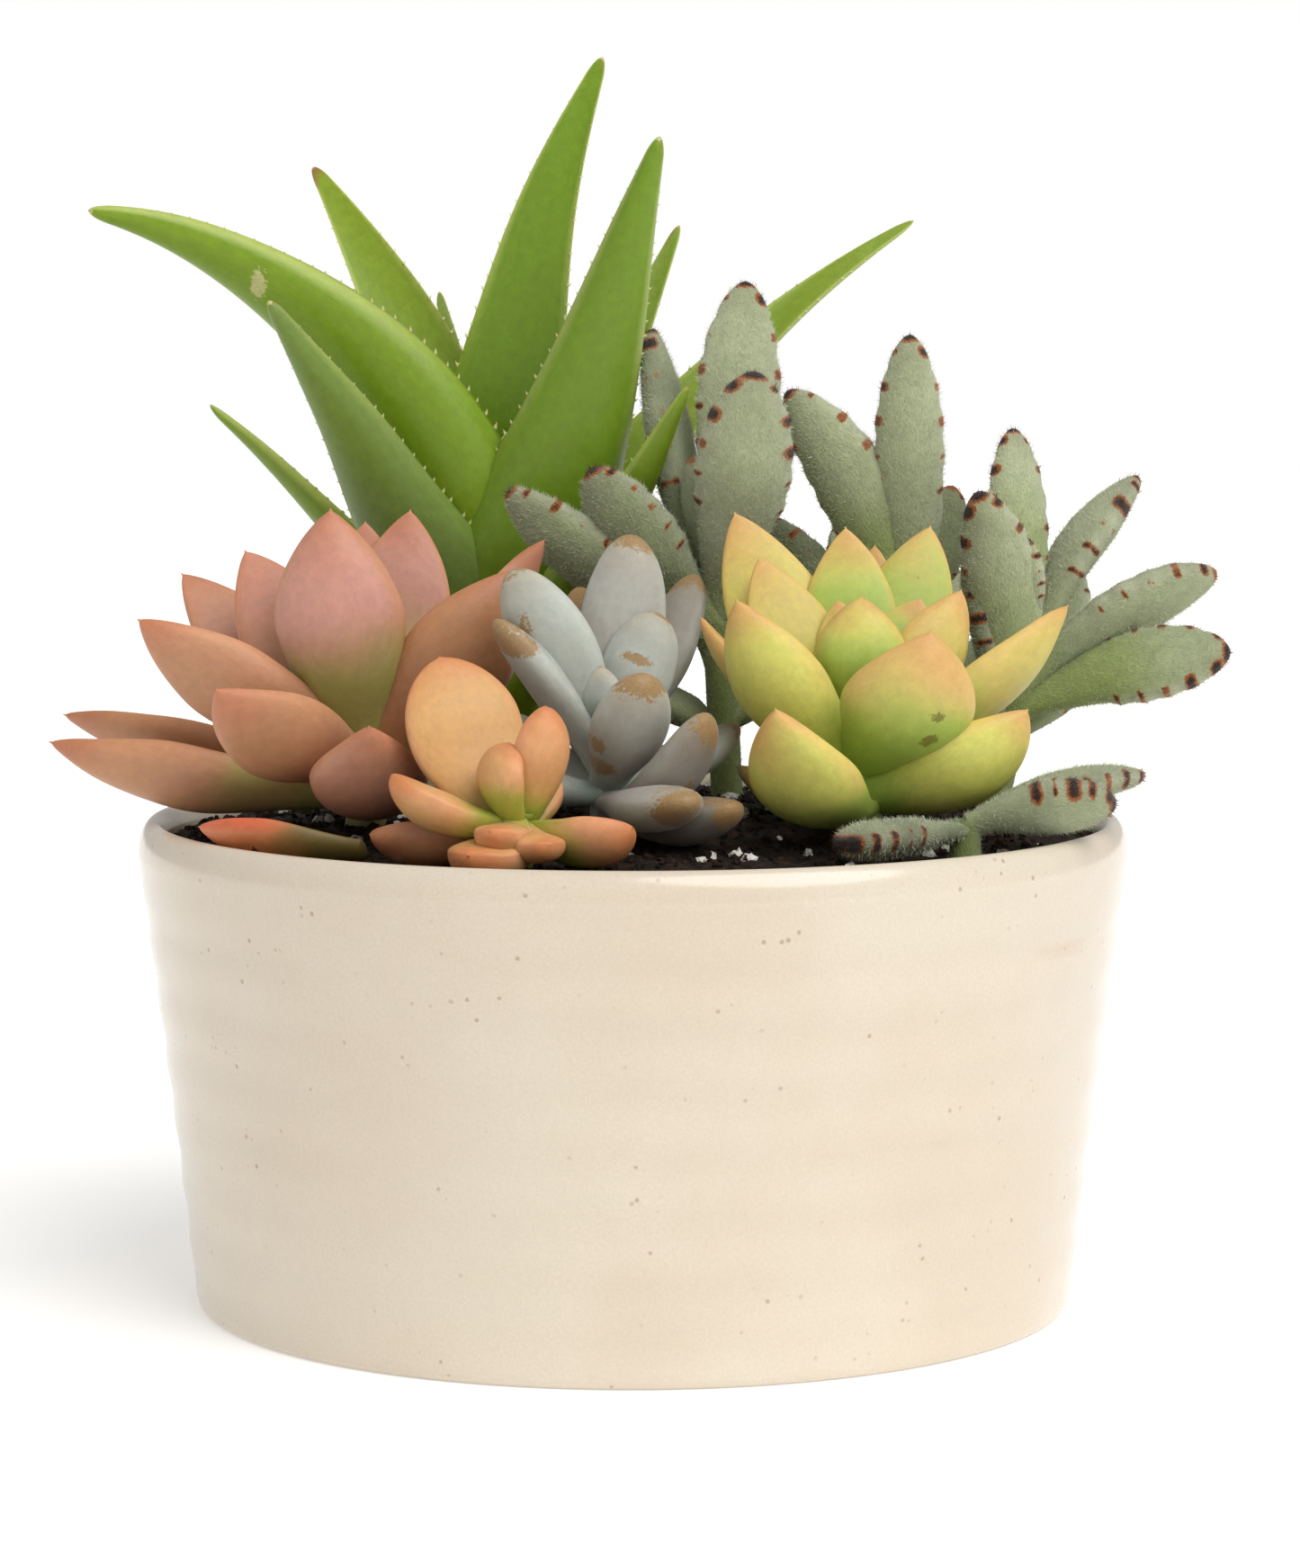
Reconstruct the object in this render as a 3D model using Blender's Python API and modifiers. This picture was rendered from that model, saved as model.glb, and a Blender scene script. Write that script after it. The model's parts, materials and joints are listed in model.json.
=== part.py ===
"""Succulent dish garden: a round stoneware bowl planted with seven kinds of rosettes and leafy stems.

The origin is the middle of the bowl's flat base, +Z is up, and the front of the arrangement faces -Y.
Every plant is one body: a stem that stands in a hole in the soil, with its leaves grown out of it.
"""
import math
from collections import namedtuple

import bmesh
import bpy
from mathutils import Matrix, Vector

MM = 0.001
# Clearance between pieces that touch
GAP = 0.3 * MM

# Bowl
RIM_RADIUS = 82.5 * MM
BASE_RADIUS = 73.4 * MM
BOWL_HEIGHT = 81.5 * MM
WIDEST_HEIGHT = 76 * MM
WALL = 5 * MM
FLOOR = 6 * MM
BASE_ROUND = 1.5 * MM
TAPER_POWER = 1.1
RIDGE_PITCH = 10 * MM
RIDGE_HEIGHT = 0.35 * MM
ROUND_SEGMENTS = 36
LIP_STEPS = 6

# Soil
SOIL_CROWN = 83.5 * MM
SOIL_FALL = 5.5 * MM
SOIL_RADIUS = 75 * MM
SOIL_RINGS = 7
SOIL_LUMP = 0.25 * MM
# Hollows pressed in the soil under the heavy leaves: x, y, reach, depth
HOLLOWS = (
    (-22 * MM, -59 * MM, 15 * MM, 3.2 * MM),
    (2 * MM, -40 * MM, 16 * MM, 1.7 * MM),
    (30 * MM, -40 * MM, 14 * MM, 1.7 * MM),
    (46 * MM, -42 * MM, 14 * MM, 2.2 * MM),
    (-56 * MM, -46 * MM, 14 * MM, 2.2 * MM),
)

# Stems, which stand upright in their holes and may lean above the soil
STEM_SIDES = 8
STEM_END_HEIGHT = 58 * MM
STEM_TAPER = 0.9
HOLE_CLEARANCE = 1.2 * GAP
HOLE_TOP = 95 * MM

# Leaves: steps of the midrib, how far across a point of the edge lies, and where scallops begin
SPINE_STEPS = 24
EDGE_REACH = 0.9
CRENATE_FROM = 0.4

# Aloe teeth: spacing along an edge, height, depth in the leaf, lean to the tip, and the share of the
# leaf's length that carries them
TOOTH_SPACING = 18 * MM
TOOTH_HEIGHT = 1.3 * MM
TOOTH_ROOT = 0.9 * MM
TOOTH_RADIUS = 0.8 * MM
TOOTH_LEAN = 0.35
TOOTH_LAST = 0.84
TOOTH_STAGGER = 0.25

# How a kind of leaf is shaped. base: width at the root as a share of the full width. widest: where along
# the leaf it is full. close: how sharply it closes to the tip. over, under: height of the upper and lower
# face as shares of the width; below zero the upper face is a channel. crenate: depth of the edge's scallops.
Form = namedtuple("Form", "base widest open close over under sides rings crenate")
SEDUM = Form(0.50, 0.56, 2.0, 0.66, 0.10, 0.32, 8, 6, 0)
ORANGE = Form(0.55, 0.60, 2.0, 0.55, 0.15, 0.35, 8, 6, 0)
POWDER = Form(0.50, 0.58, 2.0, 0.52, 0.26, 0.36, 8, 6, 0)
FELT = Form(0.42, 0.62, 2.0, 0.55, 0.17, 0.32, 6, 9, 0.08)
ALOE = Form(0.90, 0.22, 1.3, 0.85, -0.12, 0.34, 8, 8, 0)

# One leaf. rise: height of its root on the stem, mm. turn: compass direction from +X towards +Y, and lift:
# slope of the line from root to tip, degrees. length, width: mm. curl: change of slope from root to tip,
# and roll: turn about its own length, degrees.
Leaf = namedtuple("Leaf", "rise turn lift length width curl roll")

# One plant. foot and top: ends of its stem above the soil, mm. radius: radius of its stem, mm.
Plant = namedtuple("Plant", "form foot top radius leaves")

PLANTS = {
    "aloe": Plant(ALOE, (-26.5, 36, 81), (-25.5, 34, 123.5), 5.0, (
        Leaf(107, 20, 78, 105.5, 25, -24, 62),
        Leaf(113, -162, 45, 105.5, 26, -75, 50),
        Leaf(105, -37, 67, 97.5, 26, 8, -52),
        Leaf(111, 130, 58, 96.5, 22, -38, -40),
        Leaf(105, -138, 53, 78, 21, -8, 40),
        Leaf(97, -173, 48, 71, 14, -20, 20),
        Leaf(119.5, 112, 64, 55, 12, 0, -20),
        Leaf(103, 21, 44, 114.5, 15, -30, 45),
        Leaf(105, 39, 60, 87.5, 16, 0, 40),
        Leaf(97, -36, 52, 71, 15, 12, -40),
        Leaf(91, -52, 44, 38.5, 12, 0, -20),
        Leaf(105, 95, 30, 81, 20, -20, 0),
        Leaf(99, 60, 30, 63, 16, -15, 0),
        Leaf(97, 122, 28, 53, 15, -15, 0),
        Leaf(117.5, 70, 72, 50.5, 13, 0, 0),
        Leaf(90, 142, 22, 44, 15, -10, 0),
        Leaf(90, 68, 20, 42, 14, -10, 0),
    )),
    "copper_sedum": Plant(SEDUM, (-44, -14, 82), (-43, -14, 102), 3.6, (
        Leaf(94, -118, 74, 42, 21.5, 28, 22),
        Leaf(97, 57, 72, 38, 17, 20, 38),
        Leaf(97, 96, 71, 36, 14, 15, 0),
        Leaf(96, 174, 56, 37, 17, 15, -60),
        Leaf(95, 154, 37, 45, 16, 10, -35),
        Leaf(93, -162, 31, 45, 17, 8, 45),
        Leaf(91, -126, 22, 41, 18, 20, 35),
        Leaf(90, 159, 8, 57, 15, 5, 35),
        Leaf(87, -178, 9, 53, 17, 12, 35),
        Leaf(92, -14, 53, 40, 20, 22, -50),
        Leaf(95, 32, 44, 47, 16, 10, -50),
        Leaf(87, -86, 21, 40, 19, 45, 0),
        Leaf(88, 120, 20, 26, 14, 15, 0),
        Leaf(89, 80, 22, 24, 13, 15, 0),
        Leaf(97, -60, 80, 20, 11, 10, 0),
        Leaf(98, 170, 75, 24, 12, 10, 0),
    )),
    "orange_sedum": Plant(ORANGE, (-17, -48, 81), (-18, -59, 88), 3.0, (
        Leaf(85, 144, 59, 31, 18.5, 22, -38),
        Leaf(86, -166, 22, 22, 12.5, 25, 0),
        Leaf(87, -130, 81, 12.5, 12.5, 40, -30),
        Leaf(86, -42, 73, 20, 9.5, 30, -20),
        Leaf(85, -31, 4, 21, 12.5, 30, -30),
        Leaf(85, -116, -8, 17.5, 13, 30, 0),
        Leaf(87, -108, -3, 12.5, 8.5, 40, 0),
        Leaf(87, -65, -12, 13.5, 9, 40, 0),
        Leaf(88, -92, -30, 9.5, 6, 20, 0),
        Leaf(83.5, -172, 2, 24, 11, 10, 30),
        Leaf(84.5, 70, 40, 14, 9, 10, 0),
    )),
    "blue_pachyphytum": Plant(POWDER, (-4, -29, 81), (-4, -29, 101), 3.2, (
        Leaf(92, -169, 64, 36, 13.5, -12, 60),
        Leaf(90, -159, 54, 33, 10, -25, 0),
        Leaf(95, 76, 66, 37.5, 14, 15, 14),
        Leaf(96, 33, 66, 23, 12, 10, 57),
        Leaf(97, -119, 69, 13, 9, 15, 0),
        Leaf(90, -72, 46, 26, 13, 20, 0),
        Leaf(86, -51, 34, 31, 11, 55, 0),
        Leaf(87, -66, 5, 32, 12, 10, 0),
        Leaf(85, -48, 6, 31, 12, 20, 0),
        Leaf(94, 56, 48, 38, 11, 10, 0),
        Leaf(94, 102, 48, 35, 10, 10, 0),
        Leaf(88, 20, 25, 25, 10, 20, 0),
        Leaf(88, 140, 28, 25, 10, 20, 0),
        Leaf(90, 100, 35, 26, 10, 20, 0),
        Leaf(87, 60, 18, 22, 10, 15, 0),
        Leaf(97, 150, 72, 18, 9, 0, 0),
        Leaf(88, -165, 15, 22, 10, 20, 0),
    )),
    "golden_sedum": Plant(SEDUM, (37, -26, 81), (37, -27, 103), 3.8, (
        Leaf(94, 144, 57, 46.5, 17, 15, -50),
        Leaf(96, 158, 59, 35, 14, 18, -55),
        Leaf(92, -155, 51, 36.5, 16, 32, 40),
        Leaf(86, -118, 30, 38, 18, 62, 10),
        Leaf(97, 100, 69, 36, 15.5, 15, -10),
        Leaf(98, 54, 58, 38.5, 15.5, 15, 36),
        Leaf(101, 128, 71, 19, 10, 10, -38),
        Leaf(98, -96, 82, 22.5, 15.5, 25, 0),
        Leaf(100, 39, 56, 23, 13, 15, 50),
        Leaf(93, -60, 48, 31, 22, 45, -20),
        Leaf(97, 3, 56, 29, 14, 20, -60),
        Leaf(91, 11, 38, 44, 15, 12, -40),
        Leaf(87.5, -21, 28, 32.5, 17, 42, -42),
        Leaf(92, 177, 43, 36, 12, 15, 0),
        Leaf(96, 83, 49, 41, 12, 10, 0),
        Leaf(88, 70, 25, 28, 15, 20, 0),
        Leaf(88, 112, 20, 26, 14, 20, 0),
        Leaf(90, 35, 30, 30, 14, 20, 0),
        Leaf(87, 160, 12, 22, 13, 20, 0),
        Leaf(101, -150, 80, 14, 8, 10, 0),
    )),
    "kalanchoe_left": Plant(FELT, (16, 10, 81), (14, 14, 121.5), 3.0, (
        Leaf(109.5, -174, 36, 44.5, 13, 10, 45),
        Leaf(111.5, -162, 51, 36, 14, 10, 45),
        Leaf(113.5, -63, 73, 44, 16, 8, -25),
        Leaf(117.5, 42, 83, 53.5, 14, 5, 48),
        Leaf(111.5, 130, 71, 54, 13, 5, 30),
        Leaf(97.5, 72, 38, 30, 12, 0, 0),
        Leaf(103.5, 100, 48, 36.5, 12, 0, 0),
        Leaf(94.5, 140, 22, 20, 10, 0, 0),
        Leaf(95.5, 10, 35, 24, 11, 0, 0),
        Leaf(117.5, -150, 78, 24, 8, 0, 0),
        Leaf(118.5, -20, 82, 22, 8, 0, 0),
    )),
    "kalanchoe_middle": Plant(FELT, (44.5, 21, 81), (47.5, 21, 118.5), 3.0, (
        Leaf(107, -169, 65, 50.5, 13, -35, 60),
        Leaf(105, 166, 45, 35.5, 13, 10, 50),
        Leaf(111.5, -92, 83, 50.5, 11.5, 5, 0),
        Leaf(109, 37, 69, 28.5, 10, 5, 50),
        Leaf(99, 70, 40, 34.5, 12, 0, 0),
        Leaf(103, 115, 48, 34.5, 12, 0, 0),
        Leaf(93, 135, 25, 30.5, 11, 0, 0),
        Leaf(115.5, -30, 80, 22.5, 8, 0, 0),
        Leaf(114.5, 150, 75, 24.5, 8, 0, 0),
    )),
    "kalanchoe_right": Plant(FELT, (60.5, 8, 81), (67.5, 10, 111.5), 3.0, (
        Leaf(91.5, -130, 79, 46, 12.5, -45, 40),
        Leaf(103.5, 102, 81, 43, 10, -20, 0),
        Leaf(103.5, 23, 57, 41.5, 12, -45, 0),
        Leaf(101.5, 1, 31, 39.5, 13, -35, -40),
        Leaf(98.5, -18, 16, 38.5, 13, -22, 60),
        Leaf(93.5, 169, 79, 35.5, 9, 0, 0),
        Leaf(99.5, 65, 38, 34.5, 12, 0, 0),
        Leaf(93.5, 95, 25, 34.5, 12, 0, 0),
        Leaf(93.5, 62, 22, 28.5, 11, 0, 0),
        Leaf(108.5, -120, 80, 20, 8, 0, 0),
    )),
    "kalanchoe_low": Plant(FELT, (53, -40, 80), (53, -40, 85), 2.8, (
        Leaf(84, 28, 11, 35, 10, -30, 0),
        Leaf(84, 0, 8, 24.5, 12, -30, -40),
        Leaf(83.5, -143, -1, 26.5, 11, -10, 0),
    )),
}
FALLEN_LEAF = Leaf(81, 168, 6, 28, 12, 5, 35)
FALLEN_LEAF_ROOT = (-42, -46, 81)

# Colour, roughness, metallic
LOOKS = {
    "bowl": ((0.60, 0.54, 0.45, 1), 0.25, 0),
    "soil": ((0.03, 0.02, 0.015, 1), 0.95, 0),
    "aloe": ((0.17, 0.38, 0.03, 1), 0.4, 0),
    "copper_sedum": ((0.50, 0.22, 0.13, 1), 0.4, 0),
    "orange_sedum": ((0.62, 0.26, 0.10, 1), 0.4, 0),
    "blue_pachyphytum": ((0.38, 0.45, 0.46, 1), 0.6, 0),
    "golden_sedum": ((0.55, 0.58, 0.12, 1), 0.4, 0),
    "kalanchoe_left": ((0.30, 0.40, 0.28, 1), 0.95, 0),
    "kalanchoe_middle": ((0.30, 0.40, 0.28, 1), 0.95, 0),
    "kalanchoe_right": ((0.32, 0.43, 0.30, 1), 0.95, 0),
    "kalanchoe_low": ((0.25, 0.30, 0.22, 1), 0.95, 0),
    "fallen_leaf": ((0.75, 0.22, 0.10, 1), 0.4, 0),
}


def clear_scene():
    for old in list(bpy.data.objects):
        bpy.data.objects.remove(old, do_unlink=True)


def new_collection(name):
    collection = bpy.data.collections.new(name)
    bpy.context.scene.collection.children.link(collection)
    return collection


def make_material(name):
    colour, roughness, metallic = LOOKS[name]
    material = bpy.data.materials.new(name)
    material.use_nodes = True
    shader = material.node_tree.nodes["Principled BSDF"]
    shader.inputs["Base Color"].default_value = colour
    shader.inputs["Roughness"].default_value = roughness
    shader.inputs["Metallic"].default_value = metallic
    return material


def add_object(name, mesh, collection):
    piece = bpy.data.objects.new(name, mesh)
    collection.objects.link(piece)
    return piece


def mesh_from(bm, name):
    mesh = bpy.data.meshes.new(name)
    bm.to_mesh(mesh)
    bm.free()
    return mesh


def finish(piece):
    """Give a piece its material and smooth shading."""
    piece.data.materials.clear()
    piece.data.materials.append(make_material(piece.name))
    piece.data.shade_smooth()
    piece.data.set_sharp_from_angle(angle=math.radians(40))


def baked(piece):
    """Replace a piece's mesh by its evaluated mesh, and drop its modifiers."""
    graph = bpy.context.evaluated_depsgraph_get()
    mesh = bpy.data.meshes.new_from_object(piece.evaluated_get(graph))
    piece.modifiers.clear()
    piece.data = mesh
    return piece


def wall_radius(height):
    """Radius of the bowl's plain tapered outer wall."""
    share = min(height / WIDEST_HEIGHT, 1)
    return BASE_RADIUS + (RIM_RADIUS - BASE_RADIUS) * share ** TAPER_POWER


def ridge(height):
    """Low throwing ridge at a height, fading out at the foot and below the lip."""
    fade = min(1, height / RIDGE_PITCH, (WIDEST_HEIGHT - height) / RIDGE_PITCH)
    return RIDGE_HEIGHT * fade * math.cos(math.tau * height / RIDGE_PITCH)


def bowl_profile():
    """Half section of the bowl as (radius, height), from the inside bottom over the lip and down."""
    lip = WALL / 2
    lip_middle = RIM_RADIUS - lip
    points = [(0, 0), (BASE_RADIUS - BASE_ROUND, 0), (BASE_RADIUS - 0.3 * BASE_ROUND, 0.3 * BASE_ROUND)]
    height = BASE_ROUND
    while height < WIDEST_HEIGHT:
        points.append((wall_radius(height) + ridge(height), height))
        height += RIDGE_PITCH / 2
    for step in range(LIP_STEPS + 1):
        angle = math.pi * step / LIP_STEPS
        rise = (BOWL_HEIGHT - WIDEST_HEIGHT) * math.sin(angle)
        points.append((lip_middle + lip * math.cos(angle), WIDEST_HEIGHT + rise))
    for share in (0.66, 0.33):
        height = FLOOR + share * (WIDEST_HEIGHT - FLOOR)
        points.append((wall_radius(height) - WALL, height))
    points.append((wall_radius(FLOOR) - WALL, FLOOR))
    points.append((0, FLOOR))
    return points[::-1]


def turned(name, profile, collection):
    """Turn a half section about Z. The profile runs down its outer side."""
    bm = bmesh.new()
    verts = [bm.verts.new((radius, 0, height)) for radius, height in profile]
    for first, second in zip(verts, verts[1:]):
        bm.edges.new((first, second))
    piece = add_object(name, mesh_from(bm, name), collection)
    screw = piece.modifiers.new("Turn", "SCREW")
    screw.steps = ROUND_SEGMENTS
    screw.render_steps = ROUND_SEGMENTS
    screw.use_merge_vertices = True
    screw.merge_threshold = 0.0001 * MM
    return baked(piece)


def soil_height(x, y):
    """Surface of the soil: mounded, low at the wall, hollowed under the heavy leaves, slightly lumpy."""
    height = SOIL_CROWN - SOIL_FALL * (x * x + y * y) / SOIL_RADIUS ** 2
    for hollow_x, hollow_y, reach, depth in HOLLOWS:
        away = (x - hollow_x) ** 2 + (y - hollow_y) ** 2
        height -= depth * math.exp(-away / reach ** 2)
    lumps = math.sin(x / (4.1 * MM)) * math.cos(y / (3.7 * MM)) + math.sin((x + y) / (2.9 * MM))
    return height + SOIL_LUMP * lumps


def make_soil(collection):
    """Soil that fills the bowl from its floor, with its upper surface raised by soil_height."""
    top_radius = wall_radius(SOIL_CROWN - SOIL_FALL) - WALL - GAP
    low_radius = wall_radius(FLOOR) - WALL - GAP
    rings = [top_radius * step / SOIL_RINGS for step in range(SOIL_RINGS + 1)]
    profile = [(radius, SOIL_CROWN) for radius in rings]
    profile.append((wall_radius(0.5 * SOIL_CROWN) - WALL - GAP, 0.5 * SOIL_CROWN))
    profile.append((low_radius, FLOOR + GAP))
    profile.append((0, FLOOR + GAP))
    soil = turned("soil", profile, collection)
    for vertex in soil.data.vertices:
        if vertex.co.z > 0.9 * SOIL_CROWN:
            vertex.co.z = soil_height(vertex.co.x, vertex.co.y)
    return soil


def rod(name, start, end, radius, end_radius, sides, collection):
    """A straight rod or cone from one point to another."""
    run = end - start
    place = Matrix.Translation((start + end) / 2) @ run.to_track_quat("Z", "Y").to_matrix().to_4x4()
    bm = bmesh.new()
    bmesh.ops.create_cone(bm, cap_ends=True, segments=sides, radius1=radius, radius2=end_radius,
                          depth=run.length, matrix=place)
    return add_object(name, mesh_from(bm, name), collection)


def half_width(form, t):
    """Half width of a leaf at a share t of its length, as a share of its full half width."""
    grow = min(t / form.widest, 1)
    grow = form.base + (1 - form.base) * grow * grow * (3 - 2 * grow)
    shut = max(t - form.widest, 0) / (1 - form.widest)
    return grow * (1 - shut ** form.open) ** form.close


def spine(leaf):
    """Midrib points of a leaf from its root at the origin, and its slope at each."""
    turn = math.radians(leaf.turn)
    points = [Vector((0, 0, 0))]
    slopes = [math.radians(leaf.lift - 0.5 * leaf.curl)]
    step = leaf.length * MM / SPINE_STEPS
    for index in range(SPINE_STEPS):
        middle = math.radians(leaf.lift + leaf.curl * ((index + 0.5) / SPINE_STEPS - 0.5))
        reach = step * math.cos(middle)
        points.append(points[-1] + Vector((reach * math.cos(turn), reach * math.sin(turn),
                                           step * math.sin(middle))))
        slopes.append(math.radians(leaf.lift + leaf.curl * ((index + 1) / SPINE_STEPS - 0.5)))
    return points, slopes


def place_on_leaf(leaf, root, t):
    """Point on the midrib at t, with the directions along, across and up from the leaf there."""
    points, slopes = spine(leaf)
    at = min(int(t * SPINE_STEPS), SPINE_STEPS - 1)
    point = root + points[at].lerp(points[at + 1], t * SPINE_STEPS - at)
    slope = slopes[at] + (slopes[at + 1] - slopes[at]) * (t * SPINE_STEPS - at)
    turn, roll = math.radians(leaf.turn), math.radians(leaf.roll)
    outward = Vector((math.cos(turn), math.sin(turn), 0))
    along = outward * math.cos(slope) + Vector((0, 0, math.sin(slope)))
    side = Vector((-math.sin(turn), math.cos(turn), 0))
    up = Vector((0, 0, math.cos(slope))) - outward * math.sin(slope)
    across = side * math.cos(roll) + up * math.sin(roll)
    return point, along, across, up * math.cos(roll) - side * math.sin(roll)


def leaf_mesh(name, form, leaf, root):
    """A sphere reshaped to a leaf: its axis follows the midrib and its girth the leaf's section."""
    bm = bmesh.new()
    bmesh.ops.create_uvsphere(bm, u_segments=form.sides, v_segments=form.rings, radius=1)
    for vertex in bm.verts:
        polar = math.acos(max(-1, min(1, vertex.co.z)))
        t = (1 + math.cos(polar)) / 2
        girth = math.hypot(vertex.co.x, vertex.co.y)
        point, _, across, up = place_on_leaf(leaf, root, t)
        if girth < 0.01:
            vertex.co = point
            continue
        reach = vertex.co.x / girth
        height = vertex.co.y / girth
        half = half_width(form, t)
        if form.crenate and abs(reach) > EDGE_REACH and t > CRENATE_FROM:
            ring = round(polar * form.rings / math.pi)
            half *= 1 + form.crenate * (-1) ** ring
        width = leaf.width * MM
        swell = width * half * (form.over if height > 0 else form.under)
        vertex.co = point + across * (0.5 * width * half * reach) + up * (swell * height)
    return mesh_from(bm, name)


def grow_teeth(name, form, leaf, root, collection):
    """Three-sided teeth along both edges of a leaf, evenly spaced from clear of its root."""
    length = leaf.length * MM
    count = int(TOOTH_LAST * length / TOOTH_SPACING)
    for index in range(2, count + 1):
        for hand in (-1, 1):
            t = (index + TOOTH_STAGGER * hand) * TOOTH_SPACING / length
            point, along, across, _ = place_on_leaf(leaf, root, t)
            edge = point + across * (hand * 0.5 * leaf.width * MM * half_width(form, t))
            lean = (across * hand + along * TOOTH_LEAN).normalized()
            rod(name, edge - lean * TOOTH_ROOT, edge + lean * TOOTH_HEIGHT, TOOTH_RADIUS, 0, 3, collection)


def joined(body, others):
    """Fuse every object of a collection to a body by one union, and remove the collection."""
    union = body.modifiers.new("Join", "BOOLEAN")
    union.operation = "UNION"
    union.operand_type = "COLLECTION"
    union.collection = others
    baked(body)
    for old in list(others.objects):
        bpy.data.objects.remove(old, do_unlink=True)
    bpy.data.collections.remove(others)
    return body


def make_plant(name, plant, collection):
    """One plant: its stem with every leaf, and the teeth of a toothed kind, fused to it."""
    foot = Vector(plant.foot) * MM
    top = Vector(plant.top) * MM
    radius = plant.radius * MM
    buried_end = Vector((foot.x, foot.y, STEM_END_HEIGHT))
    body = rod(name, buried_end, foot + Vector((0, 0, radius)), radius, radius, STEM_SIDES, collection)
    shoots = new_collection(name + "_shoots")
    rod(name + "_stem", foot, top, STEM_TAPER * radius, STEM_TAPER * radius, STEM_SIDES, shoots)
    for index, leaf in enumerate(plant.leaves):
        root = foot.lerp(top, (leaf.rise * MM - foot.z) / (top.z - foot.z))
        leaf_name = f"{name}_leaf_{index}"
        add_object(leaf_name, leaf_mesh(leaf_name, plant.form, leaf, root), shoots)
        if plant.form is ALOE:
            grow_teeth(leaf_name + "_tooth", plant.form, leaf, root, shoots)
    return joined(body, shoots)


def cut_stem_holes(soil, cutters):
    """Plain round holes in the soil for the stems."""
    for name, plant in PLANTS.items():
        x, y, _ = plant.foot
        low = Vector((x * MM, y * MM, STEM_END_HEIGHT - HOLE_CLEARANCE))
        high = Vector((x * MM, y * MM, HOLE_TOP))
        radius = plant.radius * MM + HOLE_CLEARANCE
        cutter = rod(name + "_hole", low, high, radius, radius, STEM_SIDES, cutters)
        cutter.hide_render = True
        cutter.display_type = "WIRE"
    cut = soil.modifiers.new("Stem holes", "BOOLEAN")
    cut.operation = "DIFFERENCE"
    cut.operand_type = "COLLECTION"
    cut.collection = cutters
    baked(soil)
    for old in list(cutters.objects):
        bpy.data.objects.remove(old, do_unlink=True)


def main():
    clear_scene()
    garden = new_collection("succulent_dish_garden")
    cutters = new_collection("cutters")
    pieces = [turned("bowl", bowl_profile(), garden)]
    soil = make_soil(garden)
    cut_stem_holes(soil, cutters)
    pieces.append(soil)
    for name, plant in PLANTS.items():
        pieces.append(make_plant(name, plant, garden))
    root = Vector(FALLEN_LEAF_ROOT) * MM
    pieces.append(add_object("fallen_leaf", leaf_mesh("fallen_leaf", SEDUM, FALLEN_LEAF, root), garden))
    for piece in pieces:
        finish(piece)


main()
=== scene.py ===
"""Looks of a succulent dish garden: a glazed stoneware bowl, its soil, and every leaf of its plants.

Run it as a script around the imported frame. Each operator makes one piece or one group of like pieces,
in the frame's own metres, with +Z up and the front of the arrangement facing -Y.
"""
import json
import math
from collections import namedtuple

import bpy
import numpy as np
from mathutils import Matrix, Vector, noise

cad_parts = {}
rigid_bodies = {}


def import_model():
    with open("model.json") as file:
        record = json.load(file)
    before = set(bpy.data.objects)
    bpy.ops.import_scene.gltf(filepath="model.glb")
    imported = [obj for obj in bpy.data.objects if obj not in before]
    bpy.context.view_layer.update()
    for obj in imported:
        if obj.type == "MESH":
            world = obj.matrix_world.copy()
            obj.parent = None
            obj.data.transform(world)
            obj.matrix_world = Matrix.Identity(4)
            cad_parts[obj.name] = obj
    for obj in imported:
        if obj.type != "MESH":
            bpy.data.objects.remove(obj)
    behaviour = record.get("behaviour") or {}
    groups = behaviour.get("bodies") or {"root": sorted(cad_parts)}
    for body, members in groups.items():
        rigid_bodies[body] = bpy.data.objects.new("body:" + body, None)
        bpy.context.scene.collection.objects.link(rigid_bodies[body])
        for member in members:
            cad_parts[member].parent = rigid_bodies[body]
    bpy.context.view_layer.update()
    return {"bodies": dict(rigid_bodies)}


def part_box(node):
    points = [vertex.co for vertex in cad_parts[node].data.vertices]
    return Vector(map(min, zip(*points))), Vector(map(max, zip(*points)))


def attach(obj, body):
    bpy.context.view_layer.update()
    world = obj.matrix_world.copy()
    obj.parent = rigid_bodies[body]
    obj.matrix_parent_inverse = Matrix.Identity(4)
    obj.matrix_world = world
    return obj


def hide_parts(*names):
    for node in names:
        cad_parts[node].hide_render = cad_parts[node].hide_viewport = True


bl_info = {
    "name": "Succulent Dish Garden",
    "version": (1, 0, 0),
    "blender": (4, 5, 0),
    "location": "View3D > Sidebar > Dish Garden",
    "description": "Glazed bowl, soil and succulents with fleshy, powdery and felted leaves",
    "category": "Add Mesh",
}

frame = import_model()
BODY = next(iter(frame["bodies"]))

MM = 0.001
GAP = 0.3 * MM

# Bowl
RIM_RADIUS = 82.5 * MM
BASE_RADIUS = 73.4 * MM
BOWL_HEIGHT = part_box("bowl")[1].z
WIDEST_HEIGHT = 76 * MM
WALL = 5 * MM
FLOOR = 6 * MM
BASE_ROUND = 1.5 * MM
TAPER_POWER = 1.1
RIDGE_PITCH = 10 * MM

LIP_STEPS = 20

# Soil
SOIL_RINGS = 105
SOIL_FACETS = 260
SOIL_GRAIN = 5 * MM
SOIL_CRUMBLE = 0.7 * MM
SOIL_CROWN = 83.5 * MM
SOIL_FALL = 5.5 * MM
SOIL_RADIUS = 75 * MM
SOIL_LUMP = 0.25 * MM
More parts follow.
